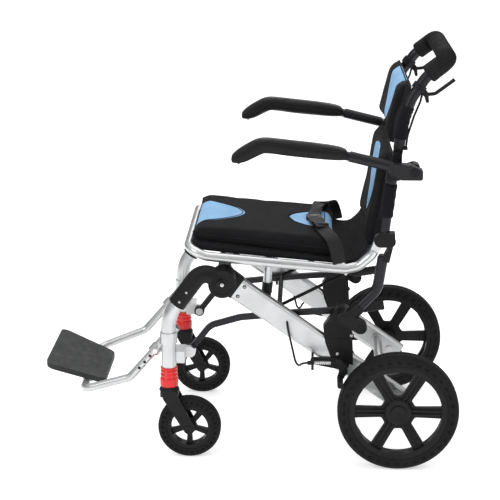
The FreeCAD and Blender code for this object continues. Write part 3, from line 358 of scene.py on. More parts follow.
def loft(name, rings, material, closed_path=False):
    """Skin over rings of equal point count, capped at the ends unless the path is closed."""
    count = len(rings[0])
    points = [p for ring in rings for p in ring]
    faces = []
    steps = len(rings) if closed_path else len(rings) - 1
    for i in range(steps):
        j = (i + 1) % len(rings)
        for k in range(count):
            m = (k + 1) % count
            faces.append((i * count + k, i * count + m, j * count + m, j * count + k))
    if not closed_path:
        faces.append(tuple(range(count)))
        faces.append(tuple((len(rings) - 1) * count + k for k in range(count)))
    return new_mesh(name, points, faces, material)


def apply_modifiers(piece):
    """Puts what a piece's modifiers make into its mesh."""
    depsgraph = bpy.context.evaluated_depsgraph_get()
    depsgraph.update()
    data = bpy.data.meshes.new_from_object(piece.evaluated_get(depsgraph))
    piece.modifiers.clear()
    piece.data = data
    shade_smooth(data)


def smooth_path(points, steps=12):
    """Catmull-Rom line through points."""
    ends = [points[0] * 2 - points[1]] + list(points) + [points[-1] * 2 - points[-2]]
    out = []
    for a, b, c, d in zip(ends, ends[1:], ends[2:], ends[3:]):
        for i in range(steps):
            t = i / steps
            out.append(0.5 * ((2 * b) + (c - a) * t + (2 * a - 5 * b + 4 * c - d) * t * t
                              + (3 * b - a - 3 * c + d) * t * t * t))
    out.append(points[-1].copy())
    return out


def direction_at(line, i):
    """Unit direction of a line of points at point i."""
    return (line[min(i + 1, len(line) - 1)] - line[max(i - 1, 0)]).normalized()


def circle(centre, across, deep, size, count):
    """Ring of points round a centre, in the plane of two unit directions."""
    ring = []
    for k in range(count):
        a = 2 * math.pi * k / count
        ring.append(centre + across * math.cos(a) * size + deep * math.sin(a) * size)
    return ring


def superellipse(count, width, height, power):
    """Points of a rounded rectangle, squarer as the power rises."""
    ring = []
    for k in range(count):
        a = 2 * math.pi * k / count
        c, s = math.cos(a), math.sin(a)
        ring.append((math.copysign(abs(c) ** (2 / power), c) * width / 2,
                     math.copysign(abs(s) ** (2 / power), s) * height / 2))
    return ring


CLOTH_PRESSURE = 4.0
CLOTH_STEPS = 20


def puff(piece, voxel, cap, relax=6):
    """Inflates a padded shape by cloth simulation, with each point held within cap metres."""
    remesh = piece.modifiers.new("voxels", "REMESH")
    remesh.mode = "VOXEL"
    remesh.voxel_size = voxel
    apply_modifiers(piece)
    rest = [v.co.copy() for v in piece.data.vertices]
    cloth = piece.modifiers.new("cloth", "CLOTH")
    cloth.settings.use_pressure = True
    cloth.settings.uniform_pressure_force = CLOTH_PRESSURE
    cloth.settings.tension_stiffness = 20
    cloth.settings.compression_stiffness = 20
    cloth.settings.bending_stiffness = 1.0
    cloth.settings.effector_weights.gravity = 0.0
    cloth.point_cache.frame_start = 1
    cloth.point_cache.frame_end = CLOTH_STEPS
    for step in range(1, CLOTH_STEPS + 1):
        scene.frame_set(step)
    apply_modifiers(piece)
    scene.frame_set(1)
    for vertex, start in zip(piece.data.vertices, rest):
        move = vertex.co - start
        if move.length > cap:
            vertex.co = start + move * (cap / move.length)
    relaxed = piece.modifiers.new("relax", "SMOOTH")
    relaxed.iterations = relax
    relaxed.factor = 0.5
    finer = piece.modifiers.new("finer", "SUBSURF")
    finer.levels = 1
    finer.render_levels = 1
    apply_modifiers(piece)


def signed_distance(x, y, outline):
    """Millimetres inside (positive) or outside (negative) a closed outline."""
    best = 1e9
    inside = False
    for (ax, ay), (bx, by) in zip(outline, outline[1:] + outline[:1]):
        dx, dy = bx - ax, by - ay
        t = max(0.0, min(1.0, ((x - ax) * dx + (y - ay) * dy) / (dx * dx + dy * dy + 1e-12)))
        best = min(best, math.hypot(x - ax - t * dx, y - ay - t * dy))
        if (ay > y) != (by > y) and x < ax + (y - ay) * dx / dy:
            inside = not inside
    return best if inside else -best


PANEL_REACH = 9.0       # the stored panel distance stops at this many millimetres


def mark_panels(piece, outlines, flat, allowed):
    """Stores the distance into the nearest coloured panel at each vertex."""
    layer = piece.data.attributes.new("panel", "FLOAT", "POINT")
    normals = piece.data.vertex_normals
    for i, vertex in enumerate(piece.data.vertices):
        value = -PANEL_REACH
        if allowed(vertex.co, normals[i].vector):
            x, y = flat(vertex.co)
            value = max(signed_distance(x, y, outline) for outline in outlines)
        layer.data[i].value = max(-PANEL_REACH, min(PANEL_REACH, value))


def tree_of(piece):
    depsgraph = bpy.context.evaluated_depsgraph_get()
    return BVHTree.FromObject(piece, depsgraph)


def cord_on(name, piece, guides, radius, material, closed, lift=0.0002):
    """Sewn cord laid on the surface of a piece along guide points."""
    tree = tree_of(piece)
    line = []
    for guide in guides:
        spot, normal, _, _ = tree.find_nearest(guide)
        line.append(spot + normal * lift)
    curve = bpy.data.curves.new(name, "CURVE")
    curve.dimensions = "3D"
    curve.bevel_depth = radius
    curve.bevel_resolution = 2
    spline = curve.splines.new("POLY")
    spline.points.add(len(line) - 1)
    for point, place in zip(spline.points, line):
        point.co = (*place, 1.0)
    spline.use_cyclic_u = closed
    made = bpy.data.objects.new(name, curve)
    LINK(made)
    data = bpy.data.meshes.new_from_object(made)
    bpy.data.objects.remove(made)
    piped = bpy.data.objects.new(name, data)
    LINK(piped)
    data.materials.clear()
    data.materials.append(material)
    shade_smooth(data)
    return piped


def stitches(name, piece, guides, material, length=0.0028, radius=0.0004, pitch=0.0048):
    """Row of separate thread stitches on a piece."""
    tree = tree_of(piece)
    points, faces = [], []
    travelled = 0.0
    for a, b in zip(guides, guides[1:]):
        run = (b - a).length
        while travelled < run:
            spot, normal, _, _ = tree.find_nearest(a.lerp(b, travelled / run))
            along = (b - a).normalized()
            side = normal.cross(along).normalized()
            base = len(points)
            for t, size in ((-0.5, 0.3), (-0.3, 1.0), (0.3, 1.0), (0.5, 0.3)):
                for k in range(6):
                    w = math.pi * k / 3
                    points.append(spot + along * length * t + side * math.cos(w) * radius * size
                                  + normal * math.sin(w) * radius * size)
            for r in range(3):
                for k in range(6):
                    m = (k + 1) % 6
                    low = base + r * 6
                    faces.append((low + k, low + m, low + 6 + m, low + 6 + k))
            faces.append(tuple(base + k for k in range(6)))
            faces.append(tuple(base + 18 + k for k in range(6)))
            travelled += pitch
        travelled -= run
    return new_mesh(name, points, faces, material)


# ------------------------------------------------------------------ tyres

GROOVE_STEPS = 7        # rings from one cross groove of a tread to the next
POCKET_DEPTH = 0.0032
CROSS_GROOVE = 0.0012
RING_GROOVE = 0.0014


def tyre(name, node, body, pockets):
    """Solid tyre: side walls with moulded pockets, and a grooved tread."""
    lo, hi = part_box(node)
    centre = (lo + hi) / 2
    radius = (hi.z - lo.z) / 2
    half = (hi.x - lo.x) / 2
    inner, fillet = (0.113, 0.013) if radius > 0.1 else (0.052, 0.009)
    pocket_r, pocket_size = (0.1265, 0.0062) if radius > 0.1 else (0.0625, 0.0036)
    profile = [(-half + 0.002, inner)]
    for i in range(15):
        t = i / 14
        profile.append((-half, inner + 0.0035 + (radius - fillet - inner - 0.0035) * t))
    for i in range(1, 9):
        a = math.pi / 2 * i / 8
        profile.append((-half + fillet * (1 - math.cos(a)), radius - fillet + fillet * math.sin(a)))
    flat = half - fillet
    crown = [(-flat + 2 * flat * i / 12, radius) for i in range(1, 12)]
    outline = profile + crown + [(-x, r) for x, r in reversed(profile)]
    count = pockets * 14
    rings = []
    for j in range(count):
        angle = 2 * math.pi * j / count
        ring = []
        for x, r in outline:
            depth = 0.0
            if abs(abs(x) - half) < 1e-5:
                step = 2 * math.pi / pockets
                off = (angle + step / 2) % step - step / 2
                gap = math.hypot(off * pocket_r, r - pocket_r)
                if gap < pocket_size:
                    depth = POCKET_DEPTH * (1 - (gap / pocket_size) ** 4)
            px, pr = x - math.copysign(depth, x), r
            if r > radius - 0.0008:
                across = abs(x) / flat
                if j % GROOVE_STEPS < 2 and 0.25 < across < 1.2:
                    pr -= CROSS_GROOVE
                if abs(across - 0.18) < 0.09:
                    pr -= RING_GROOVE
            ring.append(Vector((px, pr * math.cos(angle), pr * math.sin(angle))) + centre)
        rings.append(ring)
    made = loft(name, rings, M["tyre"], closed_path=True)
    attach(made, body)
    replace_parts(made, node)


for side in ("left", "right"):
    tyre("rear_tyre_detail_" + side, "rear_tyre_" + side, "rear_wheel_" + side, 36)
    tyre("caster_tyre_detail_" + side, "caster_tyre_" + side, "caster_wheel_" + side, 30)


# ------------------------------------------------------------------ caster boots

# Height and radius along the side of a boot, from its top to its foot.
BOOT_PROFILE = [(222.0, 17.3), (222.0, 19.2), (219.5, 19.7), (217.5, 18.6), (216.0, 18.2),
                (214.0, 19.6), (212.0, 20.1), (209.5, 19.0), (207.5, 18.5), (205.0, 20.0),
                (202.5, 20.6), (200.0, 19.6), (198.0, 19.2), (195.0, 20.8), (190.0, 21.4),
                (184.0, 21.5), (179.0, 21.4), (176.0, 20.9), (175.0, 19.8), (175.0, 17.5)]
BOOT_HALF = 0.0215


def boot(label, x, y):
    """Red bellows boot between leg and fork, wider at its foot."""
    rings = []
    for p in smooth_path([Vector((0, r, z)) for z, r in BOOT_PROFILE], 3):
        centre = Vector((x, y, p.z * MM))
        rings.append(circle(centre, Vector((1, 0, 0)), Vector((0, 1, 0)), p.y * MM, 64))
    made = loft("boot_" + label, rings, M["red"])
    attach(made, "front_frame")
    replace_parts(made, "front_boots")


boot_lo, boot_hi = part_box("front_boots")
for side, label in ((1, "left"), (-1, "right")):
    boot(label, side * (boot_hi.x - BOOT_HALF), (boot_lo.y + boot_hi.y) / 2)


# ------------------------------------------------------------------ slabs that turn into cushions

def slab(name, stations, half, power, material):
    """Closed block between front and back lines: stations are (near point, far point) in y, z."""
    rings = []
    for near, far in stations:
        ring = []
        for u, v in superellipse(64, 2.0, 2.0, power):
            t = (v + 1) / 2
            y = far[0] + (near[0] - far[0]) * t
            z = far[1] + (near[1] - far[1]) * t
            ring.append(P(u * half, y, z))
        rings.append(ring)
    return loft(name, rings, material)


def between(line, z):
    """y at height z on a line of (y, z) points that rises."""
    for (ya, za), (yb, zb) in zip(line, line[1:]):
        if z <= zb or (yb, zb) == line[-1]:
            return ya + (yb - ya) * (z - za) / (zb - za)


def height_at(y, front, rear):
    """z at y on the straight line through two (y, z) points."""
    return front[1] + (rear[1] - front[1]) * (y - front[0]) / (rear[0] - front[0])


# Side view of the seat cushion, (y, z), and the shorter stuffing that swells to fill it.
LOW_FRONT, LOW_REAR = (-487.0, 520.5), (-141.0, 477.5)
TOP_FRONT, TOP_REAR = (-484.0, 546.0), (-141.0, 517.5)
STUFFING_FRONT = -485.0
STUFFING_REAR = -145.0
STUFFING_HALF = 181.0
STUFFING_ROLL = 11.0    # length over which an end rounds off
CUSHION_HALF = 183.0
VOXEL = 0.0055


def cushion_stuffing():
    stations = []
    for i in range(41):
        y = STUFFING_FRONT + (STUFFING_REAR - STUFFING_FRONT) * i / 40
        low = height_at(y, LOW_FRONT, LOW_REAR) + 3.0
        top = height_at(y, TOP_FRONT, TOP_REAR) - 4.0
        nose = max(0.0, 1 - (y - STUFFING_FRONT) / STUFFING_ROLL)
        tail = max(0.0, 1 - (STUFFING_REAR - y) / STUFFING_ROLL)
        pinch = 0.8 * (1 - math.sqrt(max(0.0, 1 - max(nose, tail) ** 2)))
        middle = (low + top) / 2
        low += (middle - low) * pinch
        top += (middle - top) * pinch
        stations.append(((y, top), (y, low)))
    return slab("seat_cushion_cover", stations, STUFFING_HALF, 9.0, M["fabric"])


cushion = cushion_stuffing()
puff(cushion, VOXEL, 0.008)


def rounded_panel(points, steps=10):
    """Closed smooth outline through plan points."""
    looped = [Vector((x, y, 0)) for x, y in points]
    ring = looped[-2:] + looped + looped[:2]
    line = smooth_path(ring, steps)
    inner = line[2 * steps:-2 * steps]
    return [(p.x, p.y) for p in inner[:-1]]


FRONT_PANEL = rounded_panel([(-100, -560), (-100, -520), (-98, -487), (-84, -440), (-50, -388),
                             (-24, -370), (0, -364), (24, -371), (50, -388), (88, -430),
                             (106, -470), (112, -487), (114, -520), (114, -560)])
REAR_PANEL = rounded_panel([(0, -256), (-30, -246), (-58, -218), (-82, -176), (-90, -150),
                            (-84, -138), (0, -133), (84, -138), (90, -150), (82, -176),
                            (58, -218), (30, -246)])
ABOVE_SEAT = 600.0      # guides for sewn lines start at this height over the seat


def plan(co):
    return co.x / MM, (co.y - HUB_Y) / MM


def shows_on_seat(co, normal):
    """True on the cushion's top and on the upper part of its front."""
    return normal.z > -0.2 and co.z / MM > 500 or normal.z > 0.5


mark_panels(cushion, [FRONT_PANEL, REAR_PANEL], plan, shows_on_seat)
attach(cushion, "seat_frame")
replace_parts(cushion, "seat_cushion")

PIPING_R = 0.0011


def edge_ring(reach_x, middle, reach):
    """(x, along) points of the rounded rectangle that a pad's edge cord follows."""
    ring = [(u * reach_x, middle + v * reach) for u, v in superellipse(160, 2.0, 2.0, 9.0)]
    return ring + ring[:1]


def seat_edge_guides():
    guides = []
    for x, y in edge_ring(CUSHION_HALF, -314, 169):
        half_way = (height_at(y, LOW_FRONT, LOW_REAR) + height_at(y, TOP_FRONT, TOP_REAR)) / 2
        guides.append(P(x, y, half_way + 2))
    return guides


def seat_sewing():
    """Piping round the coloured panels and the edge, and a row of stitches inside the front panel."""
    front = [P(x, y, ABOVE_SEAT) for x, y in FRONT_PANEL if y > -484]
    rear = [P(x, y, ABOVE_SEAT) for x, y in REAR_PANEL]
    thread = [P(x * 0.93, y + 5, ABOVE_SEAT) for x, y in FRONT_PANEL if y > -470]
    sewn = (cord_on("seat_front_piping", cushion, front, PIPING_R, M["hem"], False),
            cord_on("seat_rear_piping", cushion, rear, PIPING_R, M["hem"], True),
            cord_on("seat_edge_piping", cushion, seat_edge_guides(), 0.0016, M["hem"], True, 0.0004),
            stitches("seat_stitching", cushion, thread, M["piping"]))
    for piece in sewn:
        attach(piece, "seat_frame")


seat_sewing()


# ------------------------------------------------------------------ back pads

def ray_target(piece, guide):
    """Where a line running rearwards from a guide meets the piece."""
    tree = tree_of(piece)
    spot, _, _, _ = tree.ray_cast(guide, Vector((0, 1, 0)))
    return spot if spot else guide


PAD_THICKNESS = 30.0
PAD_HALF = 183.0
PAD_ROLL = 13.0         # length over which a pad's ends round off
PAD_SLACK = 5.0         # how much smaller the stuffing starts
PAD_HOLLOW = 9.0        # how far the middle lies behind the wings


def back_pad(name, line, panel, body, node):
    """Padded back panel: side wings stand forward of a slightly hollow middle."""
    z0, z1 = line[0][1] + PAD_SLACK, line[-1][1] - PAD_SLACK
    rings = []
    for i in range(45):
        t = i / 44
        z = z0 + (z1 - z0) * t
        front = between(line, z) + 3.0
        nose = max(0.0, 1 - min(z - z0, z1 - z) / PAD_ROLL)
        pinch = 1 - math.sqrt(max(0.0, 1 - nose * nose))
        ring = []
        for u, v in superellipse(88, 2.0, 2.0, 6.0):
            hollow = PAD_HOLLOW * max(0.0, 1 - (abs(u) / 0.82) ** 3)
            depth = PAD_THICKNESS - PAD_SLACK - hollow * 0.55
            middle = front + hollow + depth / 2
            y = middle - v * depth / 2 * (1 - 0.75 * pinch)
            ring.append(P(u * (PAD_HALF - PAD_SLACK), y, z))
        rings.append(ring)
    made = loft(name, rings, M["fabric"])
    puff(made, VOXEL, 0.006)
    mark_panels(made, [panel], lambda co: (co.x / MM, co.z / MM), lambda co, n: n.y < 0.15)
    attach(made, body)
    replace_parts(made, node)
    bottom, top = line[0][1], line[-1][1]
    guides = [P(x, between(line, z) - 60, z) for x, z in panel if bottom + 8 < z < top - 8]
    on_front = [ray_target(made, guide) for guide in guides]
    edge_guides = []
    for x, z in edge_ring(PAD_HALF, (z0 + z1) / 2, (z1 - z0 + 6) / 2):
        y = between(line, min(max(z, bottom), top)) + PAD_THICKNESS / 2
        edge_guides.append(P(x, y, z))
    for sewn in (cord_on(name + "_piping", made, on_front, PIPING_R, M["hem"], False),
                 cord_on(name + "_edge", made, edge_guides, 0.0015, M["hem"], True, 0.0004)):
        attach(sewn, body)


# Front faces of the two pads from the side, (y, z), from the bottom up.
LOWER_LINE = [(-89.0, 500.0), (-67.0, 605.0), (-48.0, 736.0)]
UPPER_LINE = [(-46.5, 748.0), (-16.0, 869.0), (-8.0, 893.0)]
LOWER_PANEL = rounded_panel([(-86, 700), (-96, 676), (-88, 640), (-62, 600), (-30, 566), (0, 552),
                             (30, 566), (62, 600), (88, 640), (96, 676), (86, 700), (40, 712),
                             (-40, 712)])
UPPER_PANEL = rounded_panel([(-98, 930), (-106, 888), (-100, 862), (-78, 820), (-44, 780),
                             (-14, 760), (0, 757), (14, 760), (44, 780), (78, 820), (100, 862),
                             (106, 888), (98, 930)])
back_pad("back_pad_lower_cover", LOWER_LINE, LOWER_PANEL, "back_frame", "back_pad_lower")
back_pad("back_pad_upper_cover", UPPER_LINE, UPPER_PANEL, "upper_back", "back_pad_upper")


SLEEVE_R = 0.0149
WEB_INNER_X = 0.170
WEB_REACH = 0.022
WEB_SWELL = 0.0042


def sleeve(name, points, body, side, wing):
    """Sewn cloth sleeve round a back tube, with the web that joins it to the pad."""
    line = smooth_path(points, 10)
    rings = []
    across = Vector((1, 0, 0))
    for i, p in enumerate(line):
        deep = direction_at(line, i).cross(across).normalized()
        end = min(i, len(line) - 1 - i)
        size = SLEEVE_R * (1 + 0.03 * math.sin(i * 1.1)) * (0.94 if end == 0 else 1.0)
        rings.append(circle(p, across, deep, size, 40))
    made = loft(name, rings, M["hem"])
    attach(made, body)
    web_rings = []
    for p in line:
        y_pad = p.y - wing
        ring = []
        for k in range(24):
            a = 2 * math.pi * k / 24
            t = (1 - math.cos(a)) / 2
            swell = math.sin(a) * WEB_SWELL
            x = side * (WEB_INNER_X + WEB_REACH * t)
            ring.append(Vector((x, y_pad + (p.y - y_pad) * t + swell, p.z)))
        web_rings.append(ring)
    web_piece = loft(name + "_web", web_rings, M["hem"])
    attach(web_piece, body)


def side_web(name, points, front, body, side):
    """Cloth that joins the back edge of a pad to the tube beside it."""
    line = smooth_path(points, 10)
    rings = []
    for i, p in enumerate(line):
        end = min(i, len(line) - 1 - i)
        reach = 0.72 if end == 0 else 1.0
        y_front = between(front, p.z / MM) * MM + HUB_Y + 0.014
        ring = []
        for k in range(28):
            a = 2 * math.pi * k / 28
            t = (1 - math.cos(a)) / 2 * reach
            x = side * (0.168 + 0.023 * t + math.sin(a) * 0.0022)
            ring.append(Vector((x, y_front + (p.y - y_front) * t, p.z)))
        rings.append(ring)
    made = loft(name, rings, M["hem"])
    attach(made, body)


LOWER_WEB = [(-43.5, 512), (-39.5, 545), (-30.3, 624), (-19.0, 702), (-24.0, 731)]
UPPER_WEB = [(-12.0, 753), (-6.8, 780), (-1.0, 820), (4.0, 850), (12.0, 884)]
LOWER_SLEEVE = [(SIDE, -34.7, 585), (SIDE, -30.3, 624), (SIDE, -26.0, 662)]
UPPER_SLEEVE = [(SIDE, -8.3, 765), (SIDE, -4.6, 796), (197.2, 1.5, 822), (195.8, 8.0, 838)]

for side, label in ((1, "left"), (-1, "right")):
    side_web("lower_side_web_" + label, [P(0, y, z) for y, z in LOWER_WEB], LOWER_LINE,
             "back_frame", side)
    side_web("upper_side_web_" + label, [P(0, y, z) for y, z in UPPER_WEB], UPPER_LINE,
             "upper_back", side)
    sleeve("lower_sleeve_" + label, [P(side * x, y, z) for x, y, z in LOWER_SLEEVE],
           "back_frame", side, 0.014)
    sleeve("upper_sleeve_" + label, [P(side * x, y, z) for x, y, z in UPPER_SLEEVE],
           "upper_back", side, 0.016)


# ------------------------------------------------------------------ sling

def seat_sling():
    """Firm cloth deck between the side tubes, dished in its middle."""
    under = [(-478.0, 503.0), (-447.0, 493.0), (-300.0, 480.0), (-141.0, 468.0)]
    half = 186.3
    rings = []
    for i in range(49):
        t = i / 48
        y = -476.0 + 333.0 * t
        low = None
        for (ya, za), (yb, zb) in zip(under, under[1:]):
            if ya <= y <= yb:
                low = za + (zb - za) * (y - ya) / (yb - ya)
        top = height_at(y, LOW_FRONT, LOW_REAR) - 0.6
        ring = []
        for u, v in superellipse(96, 2.0, 2.0, 5.0):
            edge = min(1.0, (1 - abs(u)) / 0.3)
            z_low = low - 1.0 + 5.0 * edge
            z = z_low + (top - z_low) * (v + 1) / 2
            ring.append(P(u * (half - 1.8 if i in (0, 48) else half), y, z))
        rings.append(ring)
    made = loft("seat_sling_deck", rings, M["hem"])
    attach(made, "seat_frame")
    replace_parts(made, "seat_sling")


seat_sling()


# ------------------------------------------------------------------ cloth behind the cushion

FLAP_HALF = 0.1835


def rear_flap():
    """Cloth that carries the deck on behind the cushion and up to the foot of the back pad."""
    path = smooth_path([P(0, -152, 483), P(0, -134, 475.5), P(0, -114, 475.5), P(0, -97, 484),
                        P(0, -84, 499), P(0, -75, 515)], 8)
    rings = []
    for i, p in enumerate(path):
        up = Vector((1, 0, 0)).cross(direction_at(path, i)).normalized()
        ring = []
        for u, v in superellipse(120, 2.0, 2.0, 12.0):
            sag = 0.004 * (1 - u * u) + 0.0006 * math.sin(u * 37 + i * 0.4)
            ring.append(p + Vector((u * FLAP_HALF, 0, 0)) + up * (v * 0.0016 - sag))
        rings.append(ring)
    made = loft("rear_flap", rings, M["hem"])
    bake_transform(made)


rear_flap()


# ------------------------------------------------------------------ bolts

def islands(node):
    """Bounding boxes of the separate solids of a node, as (low, high)."""
    shape = bmesh.new()
    shape.from_mesh(NODES[node].data)
    bmesh.ops.remove_doubles(shape, verts=shape.verts, dist=1e-6)
    seen = set()
    boxes = []
    for first in shape.verts:
        if first in seen:
            continue
        group, queue = [], [first]
        seen.add(first)
        while queue:
            here = queue.pop()
            group.append(here.co.copy())
            for edge in here.link_edges:
                other = edge.other_vert(here)
                if other not in seen:
                    seen.add(other)
                    queue.append(other)
        boxes.append((Vector(map(min, zip(*group))), Vector(map(max, zip(*group)))))
    shape.free()
    return sorted(boxes, key=lambda b: tuple(round(c, 5) for c in b[0]))


# Name, finish, profile and share of the radius. A profile is (share of the depth inwards from
# the outer face, share of the radius).
BOLT_PIECES = (
    ("washer", "black_cast", [(1.0, 0.0), (1.0, 0.93), (0.9, 1.0), (0.55, 1.0), (0.45, 0.93),
                              (0.4, 0.6)], 1.0),
    ("head", "steel", [(0.55, 0.0), (0.55, 0.7), (0.3, 0.7), (0.12, 0.58), (0.0, 0.4), (0.0, 0.3),
                       (0.35, 0.28), (0.4, 0.0)], 0.86))
BOLT_DEPTH = 0.0032


def bolts(node, body):
    """Button head bolts with a black washer where the CAD has plain heads."""
    for number, (lo, hi) in enumerate(islands(node)):
        centre = (lo + hi) / 2
        side = 1 if centre.x > 0 else -1
        outer = hi.x if side > 0 else lo.x
        inner = lo.x if side > 0 else hi.x
        reach = (hi.z - lo.z) / 2
        depth = min(BOLT_DEPTH, abs(outer - inner))
        for kind, finish, profile, share in BOLT_PIECES:
            rings = []
            for inset, r in profile:
                ring = []
                for k in range(36):
                    a = 2 * math.pi * k / 36
                    size = reach * share * max(r, 0.004)
                    if kind == "head" and 0.2 < r < 0.31:
                        size *= 0.88 + 0.12 / max(0.5, math.cos((a % (math.pi / 3)) - math.pi / 6))
                    ring.append(Vector((outer - side * depth * inset, centre.y + math.cos(a) * size,
                                        centre.z + math.sin(a) * size)))
                rings.append(ring)
            made = loft("%s_%s_%d" % (node, kind, number), rings, M[finish])
            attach(made, body)
            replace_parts(made, node)


bolts("front_fasteners", "front_frame")
bolts("beam_fasteners", "rear_beams")


# ------------------------------------------------------------------ armrest pads

ARM_PAD_X = SIDE + 61.0
ARM_PAD_HALF = 0.0205
ARM_PAD_TOP = [(-384, 739), (-352, 761), (-316, 776.5), (-260, 771.5), (-190, 764.5), (-130, 757.0)]
ARM_PAD_LOW = [(-382, 719), (-352, 724), (-308, 744.5), (-250, 738.5), (-190, 732.5), (-122, 726.5)]


def arm_pad(side, label):
    """Long pad that curves down at its front, with a seam along each side."""
    x0 = side * ARM_PAD_X
    top = [P(0, y, z) for y, z in ARM_PAD_TOP]
    low = [P(0, y, z) for y, z in ARM_PAD_LOW]
    upper, lower = smooth_path(top, 8), smooth_path(low, 8)
    rings = []
    last = len(upper) - 1
    for i, (a, b) in enumerate(zip(upper, lower)):
        end = min(i, last - i) / 5
        pinch = 1.0 if end >= 1 else 0.6 + 0.4 * math.sqrt(1 - (1 - end) ** 2)
        middle = (a + b) / 2
        ring = []
        for u, v in superellipse(48, 2.0, 2.0, 3.6):
            spot = middle + (a - b) / 2 * v * pinch
            x = x0 * MM + u * ARM_PAD_HALF * (0.86 + 0.14 * pinch)
            ring.append(Vector((x, spot.y, spot.z)))
        rings.append(ring)
    made = loft("arm_pad_cover_" + label, rings, M["leather"])
    puff(made, 0.004, 0.003, relax=4)
    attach(made, "armrest_" + label)
    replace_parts(made, "arm_pad_" + label)
    for offset, mark in ((-0.03, "a"), (0.03, "b")):
        guides = [p + Vector((x0 * MM + offset, 0, -0.006)) for p in upper[3:-2]]
        seam = cord_on("arm_pad_seam_%s_%s" % (label, mark), made, guides, 0.0009, M["leather"], False)
        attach(seam, "armrest_" + label)


arm_pad(1, "left")
arm_pad(-1, "right")


# ------------------------------------------------------------------ foam grip

GRIP_R = 0.0198
GRIP_END_R = 0.0146
GRIP_RIB = 0.0009


def foam_grip():
    """Foam sleeve over the bend and the top bar, ribbed along the top bar."""
    half_line = [P(184.0, 51.0, 905.0), P(181.0, 67.0, 918.0), P(177.0, 80.5, 928.5),
                 P(167.0, 90.5, 936.5), P(150.0, 94.5, 939.0), P(120.0, 95.0, 939.0),
                 P(60.0, 95.0, 939.0), P(0.0, 95.0, 939.0)]
    mirrored = [Vector((-p.x, p.y, p.z)) for p in reversed(half_line[:-1])]
    line = smooth_path(half_line + mirrored, 34)
    count = len(line)
    rings = []
    for i, p in enumerate(line):
        along = direction_at(line, i)
        across = along.cross(Vector((0, 0.6, 0.8))).normalized()
        deep = across.cross(along).normalized()
        end = min(i, count - 1 - i)
        size = GRIP_R
        if end < 10:
            size = GRIP_END_R + (GRIP_R - GRIP_END_R) * math.sqrt(max(0.0, 1 - (1 - end / 10) ** 2))
        if end > 40:
            size += GRIP_RIB * math.sin(end * 2 * math.pi / 8.5) * min(1.0, (end - 40) / 12)
        rings.append(circle(p, across, deep, size, 48))
    made = loft("foam_grip_sleeve", rings, M["foam"])
    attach(made, "upper_back")
    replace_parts(made, "foam_grip")


foam_grip()


# ------------------------------------------------------------------ belt and buckle

def strap(name, points, normals, width, thick, body):
    """Flat webbing along a smooth path; normals give the way its face looks at each point."""
    line = smooth_path(points, 14)
    faces_up = smooth_path(normals, 14)
    rings = []
    for i, p in enumerate(line):
        along = direction_at(line, i)
        up = (faces_up[i] - along * faces_up[i].dot(along)).normalized()
        across = along.cross(up).normalized()
        rings.append([p + across * u + up * v for u, v in superellipse(24, width, thick, 6.0)])
    made = loft(name, rings, M["web"])
    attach(made, body)
    return made


# Each point of the belt and of its loose end, and the way the webbing faces there.
BELT = [((20, -198, 531), (0, 0, 1)), ((52, -193, 534.5), (0, -0.1, 1)),
        ((92, -185, 536.5), (0, -0.25, 1)), ((140, -171, 533.5), (0.1, -0.2, 1)),
        ((176, -157, 527.0), (0.5, -0.1, 0.85)), ((190.5, -149, 513), (0.9, 0, 0.4)),
        ((196.5, -143, 493), (1, 0, 0.1)), ((203.0, -139, 474.5), (1, 0, 0.05))]
BELT_TAIL = [((24, -196, 534), (0, 0, 1)), ((58, -191, 540), (0, -0.3, 1)),
             ((96, -184, 541.5), (0, 0.2, 1)), ((120, -177, 539), (0, 0, 1))]
KEEPER = (104.0, -181.5, 538.5)
KEEPER_STEPS = ((-4.0, 0.93), (-3.4, 1.0), (3.4, 1.0), (4.0, 0.93))


def belt_half(side, label):
    """One half of the belt: its strap, its loose end, and the loop that keeps that end down."""
    def run(name, stops, width, thick):
        points = [P(side * x, y, z) for (x, y, z), _ in stops]
        normals = [Vector((side * x, y, z)) for _, (x, y, z) in stops]
        return strap(name + label, points, normals, width, thick, "seat_frame")

    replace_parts(run("belt_", BELT, 0.031, 0.0019), "seat_belt")
    run("belt_tail_", BELT_TAIL, 0.030, 0.0018)
    x, y, z = KEEPER
    loop = superellipse(40, 2.0, 2.0, 5.0)
    rings = [[P(side * (x + step), y + u * 18.5 * grow, z + v * 5.4 * grow) for u, v in loop]
             for step, grow in KEEPER_STEPS]
    keeper = loft("belt_keeper_" + label, rings, M["black_plastic"])
    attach(keeper, "seat_frame")


belt_half(1, "left")
belt_half(-1, "right")


BUCKLE_Y = -198.0


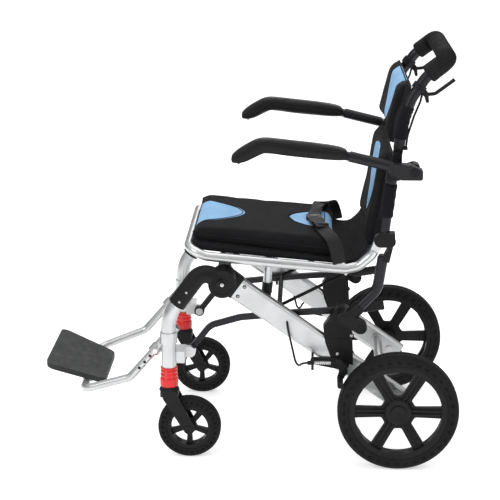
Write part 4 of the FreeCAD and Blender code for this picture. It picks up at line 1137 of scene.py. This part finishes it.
def buckle():
    """Side release buckle: body, raised centre and two sprung arms."""
    def plate(width, depth, z0, z1, power, shift=0.0, crown=1.2):
        rings = []
        for t, grow in ((0, 0.88), (0.12, 0.97), (0.3, 1.0), (0.7, 1.0), (0.88, 0.97), (1.0, 0.86)):
            z = z0 + (z1 - z0) * t
            lift = crown if t > 0.8 else 0
            rings.append([P(shift + u * grow, BUCKLE_Y + v * grow, z + lift * (1 - (2 * u / width) ** 2))
                          for u, v in superellipse(56, width, depth, power)])
        return rings

    lo_z, hi_z = (corner.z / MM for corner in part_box("belt_buckle"))
    shells = [plate(50.0, 37.0, lo_z, hi_z - 1.5, 4.5), plate(25.0, 25.0, hi_z - 3.0, hi_z - 0.2, 4.0)]
    for side in (-1, 1):
        shells.append(plate(9.0, 29.0, lo_z + 2, hi_z - 0.8, 3.0, side * 20.5, 0.4))
    points, faces = [], []
    for rings in shells:
        base, count = len(points), len(rings[0])
        points.extend(p for ring in rings for p in ring)
        for i in range(len(rings) - 1):
            for k in range(count):
                m = (k + 1) % count
                low = base + i * count
                faces.append((low + k, low + m, low + count + m, low + count + k))
        faces.append(tuple(base + k for k in range(count)))
        faces.append(tuple(base + (len(rings) - 1) * count + k for k in range(count)))
    made = new_mesh("belt_buckle_shell", points, faces, M["black_plastic"])
    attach(made, "seat_frame")
    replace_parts(made, "belt_buckle")


buckle()


# ------------------------------------------------------------------ floor

def studio_floor():
    """Pale floor that glows a little, so it stays as white as the background."""
    bpy.ops.mesh.primitive_grid_add(x_subdivisions=4, y_subdivisions=4, size=14.0,
                                    location=(0, 0, -0.0002))
    floor = bpy.context.object
    floor.name = "studio_floor"
    g = Graph("floor_paint")
    tone = g.mix(g.noise(3.0), (0.93, 0.93, 0.93), (0.95, 0.95, 0.95))
    g.join(tone, g.shader.inputs["Base Color"])
    g.shader.inputs["Roughness"].default_value = 0.95
    g.shader.inputs["Specular IOR Level"].default_value = 0.05
    g.shader.inputs["Emission Color"].default_value = (1, 1, 1, 1)
    g.shader.inputs["Emission Strength"].default_value = 0.5
    g.bump(g.noise(200.0), 0.0001, 0.2)
    floor.data.materials.append(g.material)


studio_floor()
